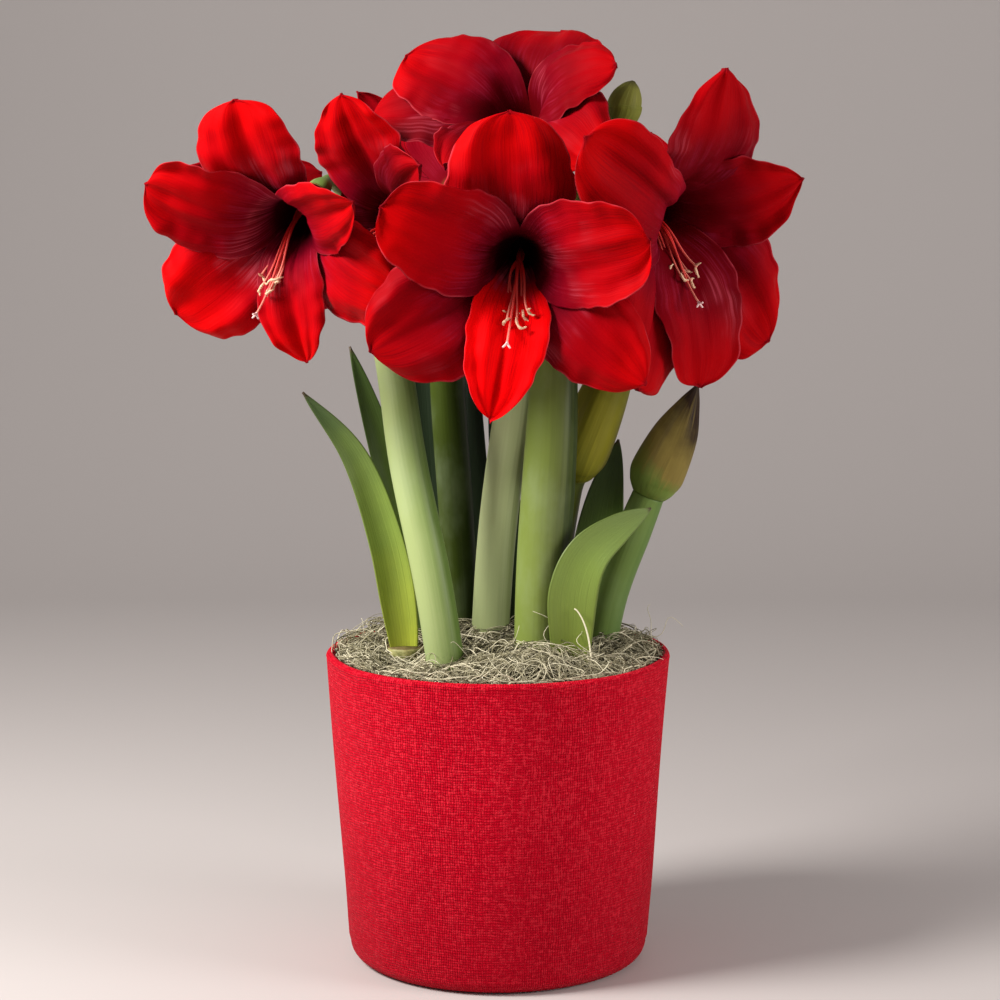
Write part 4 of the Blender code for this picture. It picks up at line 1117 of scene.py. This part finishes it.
def hill(x, y, middle_x, middle_y, spread):
    """exp(-d**2 / spread**2) for the distance d from a middle."""
    return np.exp(-((x - middle_x) ** 2 + (y - middle_y) ** 2) / spread ** 2)


def moss_top(x, y):
    """Top of the mat of moss: a low dome with humps and hollows (x, y, spread, height)."""
    radius = np.hypot(x, y)
    rise = np.cos(np.clip(radius / MOSS_RADIUS, 0, 1) * np.pi / 2)
    top = MOSS_EDGE + (MOSS_MIDDLE - MOSS_EDGE) * rise ** 0.8
    for hump_x, hump_y, spread, height in MOSS_HUMPS:
        top = top + height * hill(x, y, hump_x, hump_y, spread)
    return top


def stems_at_moss():
    """Middle and radius of every stem where it passes through the moss."""
    def crossing(points):
        path = smooth_path(points, 40)
        return [np.interp(MOSS_LEVEL, path[:, 2], path[:, k]) for k in (0, 1)]

    rows = [(*crossing(stalk.points), stalk.radii[0])
            for stalk in (*STALKS.values(), *BUD_STALKS.values())]
    rows.append((*BULB_NECK_PLACE, BULB_NECK_RADIUS))
    for leaf in LEAVES.values():
        x, y = crossing(leaf.points)
        rows += [(x + offset * leaf.width, y, LEAF_ROOM) for offset in (-0.3, 0.0, 0.3)]
    return np.array(rows)


def held_inside(flat, limit):
    """Level points, drawn in to no further than limit from the pot's axis."""
    reach = np.linalg.norm(flat, axis=-1)
    return flat * np.minimum(1.0, limit / np.maximum(reach, 1e-6))[..., None]


def strand_form(flat, level, radii, sides, tone):
    """Strands over level points (strand, row, 2) at these heights, one tone a strand."""
    paths = np.concatenate([flat, level[..., None]], -1)
    return tube_form(paths, radii, sides, toned(*level.shape, tone[:, None, None]))


def tapered(radius, share, by):
    """A radius that thins towards both ends."""
    return radius * (1 - by * np.abs(2 * share - 1) ** 3)


def strand_points(count, rng, share, length, lift, curl):
    """Curling strands over the mat, as level points and heights.

    The heading turns at a rate that itself varies along the strand.  Stems push strands
    aside, and the rim holds them in, but for a few that lie over it.
    """
    each = partial(rng.uniform, size=(count, 1))
    radius = MOSS_RADIUS * 0.98 * np.sqrt(each(0.0, 1.0))
    start = radius[..., None] * level_way(each(0, 2 * np.pi))
    step = each(*length) / (len(share) - 1)
    rate = curl * rng.normal(size=(count, 1)) + curl * 0.9 * wave(
        each(0.6, 1.8) * share, each(0, 6.3))
    heading = each(0, 2 * np.pi) + np.cumsum(rate * step, axis=1)
    walk = np.cumsum(level_way(heading) * step[..., None], axis=1)
    flat = start + walk - walk.mean(1, keepdims=True)
    for x, y, thick in stems_at_moss():
        gap = flat - [x, y]
        away = np.linalg.norm(gap, axis=-1, keepdims=True)
        clear = thick + STEM_GAP
        flat = np.where(away < clear, [x, y] + gap / np.maximum(away, 1e-5) * clear, flat)
    limit = RIM_RADIUS - each(0.0030, 0.0085)
    limit = np.where(each(0.0, 1.0) < OVER_RIM_SHARE, RIM_RADIUS - 0.0008, limit)
    reach = np.minimum(np.linalg.norm(flat, axis=-1), limit)
    flat = held_inside(flat, limit)
    x, y = flat[..., 0], flat[..., 1]
    swell = each(*lift) * (1 - 0.85 * hill(x, y, *CLEARING))
    bow = np.sin(np.pi * share) ** each(0.6, 1.6)
    ripple = 0.0008 * wave(each(1.0, 3.0) * share, each(0, 6.3))
    height = moss_top(x, y) - 0.0008 + swell * bow + ripple
    over_rim = POT_HEIGHT + 0.0006 + 0.0010 * bow
    height = np.where(reach > MOSS_RADIUS - 0.0008, np.maximum(height, over_rim), height)
    return flat, height


def moss_pieces():
    """A lumpy mat with curling strands laid and looped over it."""
    finish = moss_finish("dry_moss", (0.045, 0.038, 0.020), (0.31, 0.28, 0.17),
                         (0.78, 0.72, 0.52))
    rng = np.random.default_rng(23)
    share = np.linspace(0.0, 1.0, 14)

    def strands(count, length, lift, curl, shaded):
        """One set; where shaded is set, painted shade darkens it near the stems."""
        flat, height = strand_points(count, rng, share, length, lift, curl)
        radii = tapered(rng.uniform(0.00018, 0.00038, (count, 1)), share, 0.55)
        tone = rng.beta(2.2, 1.8, count)
        # Painted shade: strands are darker the nearer they lie to a stem.
        if shaded:
            gaps = [np.hypot(flat[..., 0] - x, flat[..., 1] - y).mean(1) - thick
                    for x, y, thick in stems_at_moss()]
            tone = tone * (0.30 + 0.70 * smoothstep(np.min(gaps, axis=0), 0.002, 0.016))
        return strand_form(flat, height, radii, 3, tone)

    bed = strands(BED_STRANDS, (0.016, 0.042), (0.0000, 0.0040), 105.0, True)
    make_piece("moss_bed", [bed, mat_form()], finish, ["moss"])
    loops = strands(LOOP_STRANDS, (0.025, 0.070), (0.0020, 0.0120), 80.0, False)
    make_piece("moss_loops", [loops, foot_form(rng), *stray_forms(rng)], finish)


def foot_form(rng):
    """Strands round the foot of each stalk: an arc that hugs it, with its ends bent away."""
    count = FOOT_STRANDS
    each = partial(rng.uniform, size=(count, 1))
    stems = stems_at_moss()[rng.integers(0, len(STALKS) + len(BUD_STALKS), count)]
    share = np.linspace(0.0, 1.0, 18)[None]
    sweep = each(0.6, 2.2) * rng.choice([-1.0, 1.0], (count, 1))
    turn = each(0.0, 2 * np.pi) + sweep * (share - 0.5)
    flare = each(0.003, 0.014) * np.abs(2 * share - 1) ** 2.2
    away = stems[:, 2:] + each(0.0006, 0.0030) + flare
    flat = held_inside(stems[:, None, :2] + away[..., None] * level_way(turn),
                       RIM_RADIUS - 0.004)
    hump = np.sin(np.pi * share) ** each(0.6, 1.4)
    level = moss_top(flat[..., 0], flat[..., 1]) + each(0.0005, 0.0065) * hump
    tone = rng.uniform(0.35, 1.0, count)
    return strand_form(flat, level, tapered(each(0.00020, 0.00038), share, 0.5), 4, tone)


def stray_forms(rng):
    """Long strands that stand up out of the moss, thin ones near the rim, and a pale root."""
    count, rows = 46, 22
    each = partial(rng.uniform, size=(count, 1))
    share = np.linspace(0.0, 1.0, rows)[None]
    turn = each(0.0, 2 * np.pi)
    foot = each(0.060, 0.094)[..., None] * level_way(turn)
    heading = each(0.0, 2 * np.pi) + each(-5.0, 5.0) * share
    span = each(0.010, 0.024)
    flat = foot + np.cumsum(level_way(heading) * span[..., None] / rows * 1.6, axis=1)
    over = np.linalg.norm(flat, axis=-1)
    lift = each(0.005, 0.017) * np.sin(np.pi * np.minimum(share * 0.8, 1)) ** 0.8
    level = np.maximum(moss_top(foot[..., 0], foot[..., 1]) - 0.001 + lift,
                       np.where(over > 0.096, POT_HEIGHT + 0.0008, 0.0))
    forms = [strand_form(held_inside(flat, RIM_RADIUS + 0.004), level,
                         0.00024 * (1.1 - 0.6 * share), 4, rng.uniform(0.25, 0.95, count))]
    share = np.linspace(0.0, 1.0, 24)[:, None]
    for x, y, lean_x, lean_y, height in STRAYS:
        start = np.array([x, y, moss_top(x, y) - 0.002])
        bow = rng.normal(size=(1, 3)) * [0.006, 0.004, 0.003]
        curl = rng.normal(size=(1, 3)) * 0.0022 * share
        path = (start + np.array([lean_x, lean_y, height]) * share
                + bow * np.sin(np.pi * share * 1.6)
                + curl * wave(share * rng.uniform(1.6, 3.0)))
        radii = 0.00030 * (1.15 - 0.7 * share[:, 0])
        forms.append(tube_form(path[None], radii, 5, toned(1, 24, 0.85)))
    share = np.linspace(0.0, 1.0, 30)
    root = np.stack([0.0440 + 0.0100 * share ** 0.8 + 0.0016 * np.sin(np.pi * share),
                     -0.0505 - 0.0060 * share, 0.2200 - 0.0330 * share ** 1.3], -1)
    forms.append(tube_form(root[None], 0.00055 * (0.7 + 0.4 * share), 8, toned(1, 30, 1.0)))
    return forms


def mat_form():
    """The mat under the strands: a closed disc whose top is raised by crossed waves."""
    rows, sides = 40, 120
    angle = once_round(sides)
    share = np.linspace(1.0, 0.02, rows)[:, None]
    radius = MOSS_RADIUS * share * np.ones(sides)
    x, y = np.moveaxis(radius[..., None] * level_way(angle), -1, 0)
    lumps = 0.0012 * (np.sin(310 * x + 2 * np.sin(190 * y)) * np.sin(270 * y + 1.5)
                      + 0.6 * np.sin(520 * x + 340 * y))
    top = moss_top(x, y) - 0.0022 + lumps
    low = np.full((2, sides), SOIL_TOP + 0.0004)
    low_radius = np.array([[0.05], [1.0]]) * MAT_FOOT_RADIUS * np.ones(sides)
    height = np.concatenate([low, top])
    spread = np.concatenate([low_radius, radius])
    rings = np.stack([spread * np.cos(angle), spread * np.sin(angle), height], -1)
    # The mat takes a tone near the darkest: painted shade in the depths between the strands.
    return ring_form(rings[None], toned(1, rows + 2, 0.06))


def bulb_neck_piece():
    """The left bulb's cut neck: a thick papery ring round the leaf's foot."""
    x, y = BULB_NECK_PLACE
    height = np.array([0.150, 0.158, 0.168, 0.178, 0.185, 0.189, 0.1905, 0.190, 0.1885])
    radius = np.array([0.0210, 0.0160, 0.0128, 0.0120, 0.0121, 0.0123, 0.0116, 0.0100, 0.0060])
    rows, sides = len(height), 64
    turn = np.arange(sides) / sides
    path = np.stack([np.full(rows, x), np.full(rows, y), height], -1)
    place = np.stack(np.broadcast_arrays(np.linspace(0, 1, rows)[:, None], turn[None],
                                         np.float64(0.5)), -1)
    section = 1 + 0.03 * wave(3 * turn, 1.0) + 0.012 * wave(11 * turn)
    form = tube_form(path[None], radius, sides, place[None], section[None, None])
    f = Finish("bulb_neck_skin", specular_ior_level=0.3)
    along = f.place()[0]
    grain = f.grain(240.0, 5.0, 0.65)
    colour = f.blend(grain.fade(0.35, 0.68), (0.16, 0.16, 0.05), (0.46, 0.44, 0.17))
    cut_edge = along.fade(0.68, 0.76) * (1 - along.fade(0.84, 0.92))
    cut_edge = cut_edge + 0.5 * grain.fade(0.5, 0.7)
    colour = f.blend(cut_edge * 0.75, colour, (0.10, 0.055, 0.025))
    finish = f.finished(colour, 0.45 + 0.15 * grain, grain, 0.0006, 0.7)
    make_piece("bulb_neck", [form], finish, ["bulb_left"])


# Stage.

def stage():
    """A pale floor that curves up into a backdrop, soft lights and the camera."""
    turn = np.linspace(0.1, np.pi / 2, 14)
    depth = np.concatenate([np.linspace(-4.0, FLOOR_END, 12),
                            FLOOR_END + FLOOR_BEND * np.sin(turn), [2.1, 2.1]])
    height = np.concatenate([np.zeros(12), FLOOR_BEND * (1 - np.cos(turn)), [2.0, 4.0]])
    width = np.array([-4.0, 4.0])
    grid = np.stack(np.broadcast_arrays(width[None], depth[:, None], height[:, None]), -1)
    count = len(depth)
    quads = [[2 * i, 2 * i + 1, 2 * i + 3, 2 * i + 2] for i in range(count - 1)]
    mesh = bpy.data.meshes.new("floor")
    mesh.from_pydata(grid.reshape(-1, 3).tolist(), [], quads)
    mesh.polygons.foreach_set("use_smooth", np.ones(len(quads), bool))
    paint = Finish("floor_paint", base_color=(0.52, 0.485, 0.47), roughness=0.6)
    mesh.materials.append(paint.material)
    add_object("floor", mesh)

    def area_light(name, place, aim, size, power, colour):
        light = bpy.data.lights.new(name, "AREA")
        light.shape, light.size, light.energy, light.color = "DISK", size, power, colour
        made = add_object(name, light)
        aim_way = np.array(aim) - np.array(place)
        yaw = math.atan2(-aim_way[0], aim_way[1])
        pitch = math.atan2(np.hypot(*aim_way[:2]), -aim_way[2])
        made.location, made.rotation_euler = place, (pitch, 0.0, yaw)

    area_light("key", (-0.92, -0.40, 1.00), (0.0, 0.0, 0.28), 0.50, 29.0, (1.0, 0.97, 0.94))
    area_light("fill", (1.70, -0.70, 0.79), (0.0, 0.0, 0.28), 0.90, 24.0, (1.0, 0.96, 0.95))

    world = bpy.data.worlds.new("studio")
    world.use_nodes = True
    background = world.node_tree.nodes["Background"]
    background.inputs["Color"].default_value = (1.0, 0.955, 0.945, 1.0)
    background.inputs["Strength"].default_value = 0.29
    bpy.context.scene.world = world
    bpy.context.scene.view_settings.view_transform = "Standard"

    camera = add_object("camera", bpy.data.cameras.new("camera"))
    camera.data.sensor_width, camera.data.lens = SENSOR_WIDTH, LENS
    camera.location = CAMERA_PLACE
    camera.rotation_euler = (math.pi / 2 - CAMERA_TILT, 0.0, 0.0)
    bpy.context.scene.camera = camera


def dress():
    """Make every piece, and give the solids that stay a finish of their own."""
    petal, stamen = petal_finish(), stamen_finish()
    for key, bloom in BLOOMS.items():
        bloom_piece(key, bloom, petal)
        stamens_piece(key, bloom, stamen)
    for key, stalk in STALKS.items():
        stalk_piece("stalk_fine_" + key, stalk, "stalk_" + key)
    for key, stalk in BUD_STALKS.items():
        stalk_piece("stalk_fine_" + key + "_bud", stalk, "stalk_" + key + "_bud")
        bud_piece(key, stalk.points, BUDS[key])
    bud_piece("young", YOUNG_BUD_STEM, BUDS["young"])
    for key, leaf in LEAVES.items():
        leaf_piece(key, leaf)
    cover_piece()
    moss_pieces()
    bulb_neck_piece()

    kept = {
        "pot_shell": speckled_finish("pot_plastic", (0.030, 0.026, 0.024),
                                     (0.045, 0.040, 0.037), 900.0, 0.45, 0.0002),
        "soil": speckled_finish("soil", (0.020, 0.012, 0.008), (0.10, 0.065, 0.04),
                                420.0, 0.80, 0.0015),
        "bulb_right": speckled_finish("bulb_skin", (0.20, 0.11, 0.05), (0.46, 0.32, 0.16),
                                      180.0, 0.50, 0.0005),
    }
    kept["bulb_back"] = kept["bulb_right"]
    for node, finish in kept.items():
        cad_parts[node].data.materials.clear()
        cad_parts[node].data.materials.append(finish)


dress()
stage()
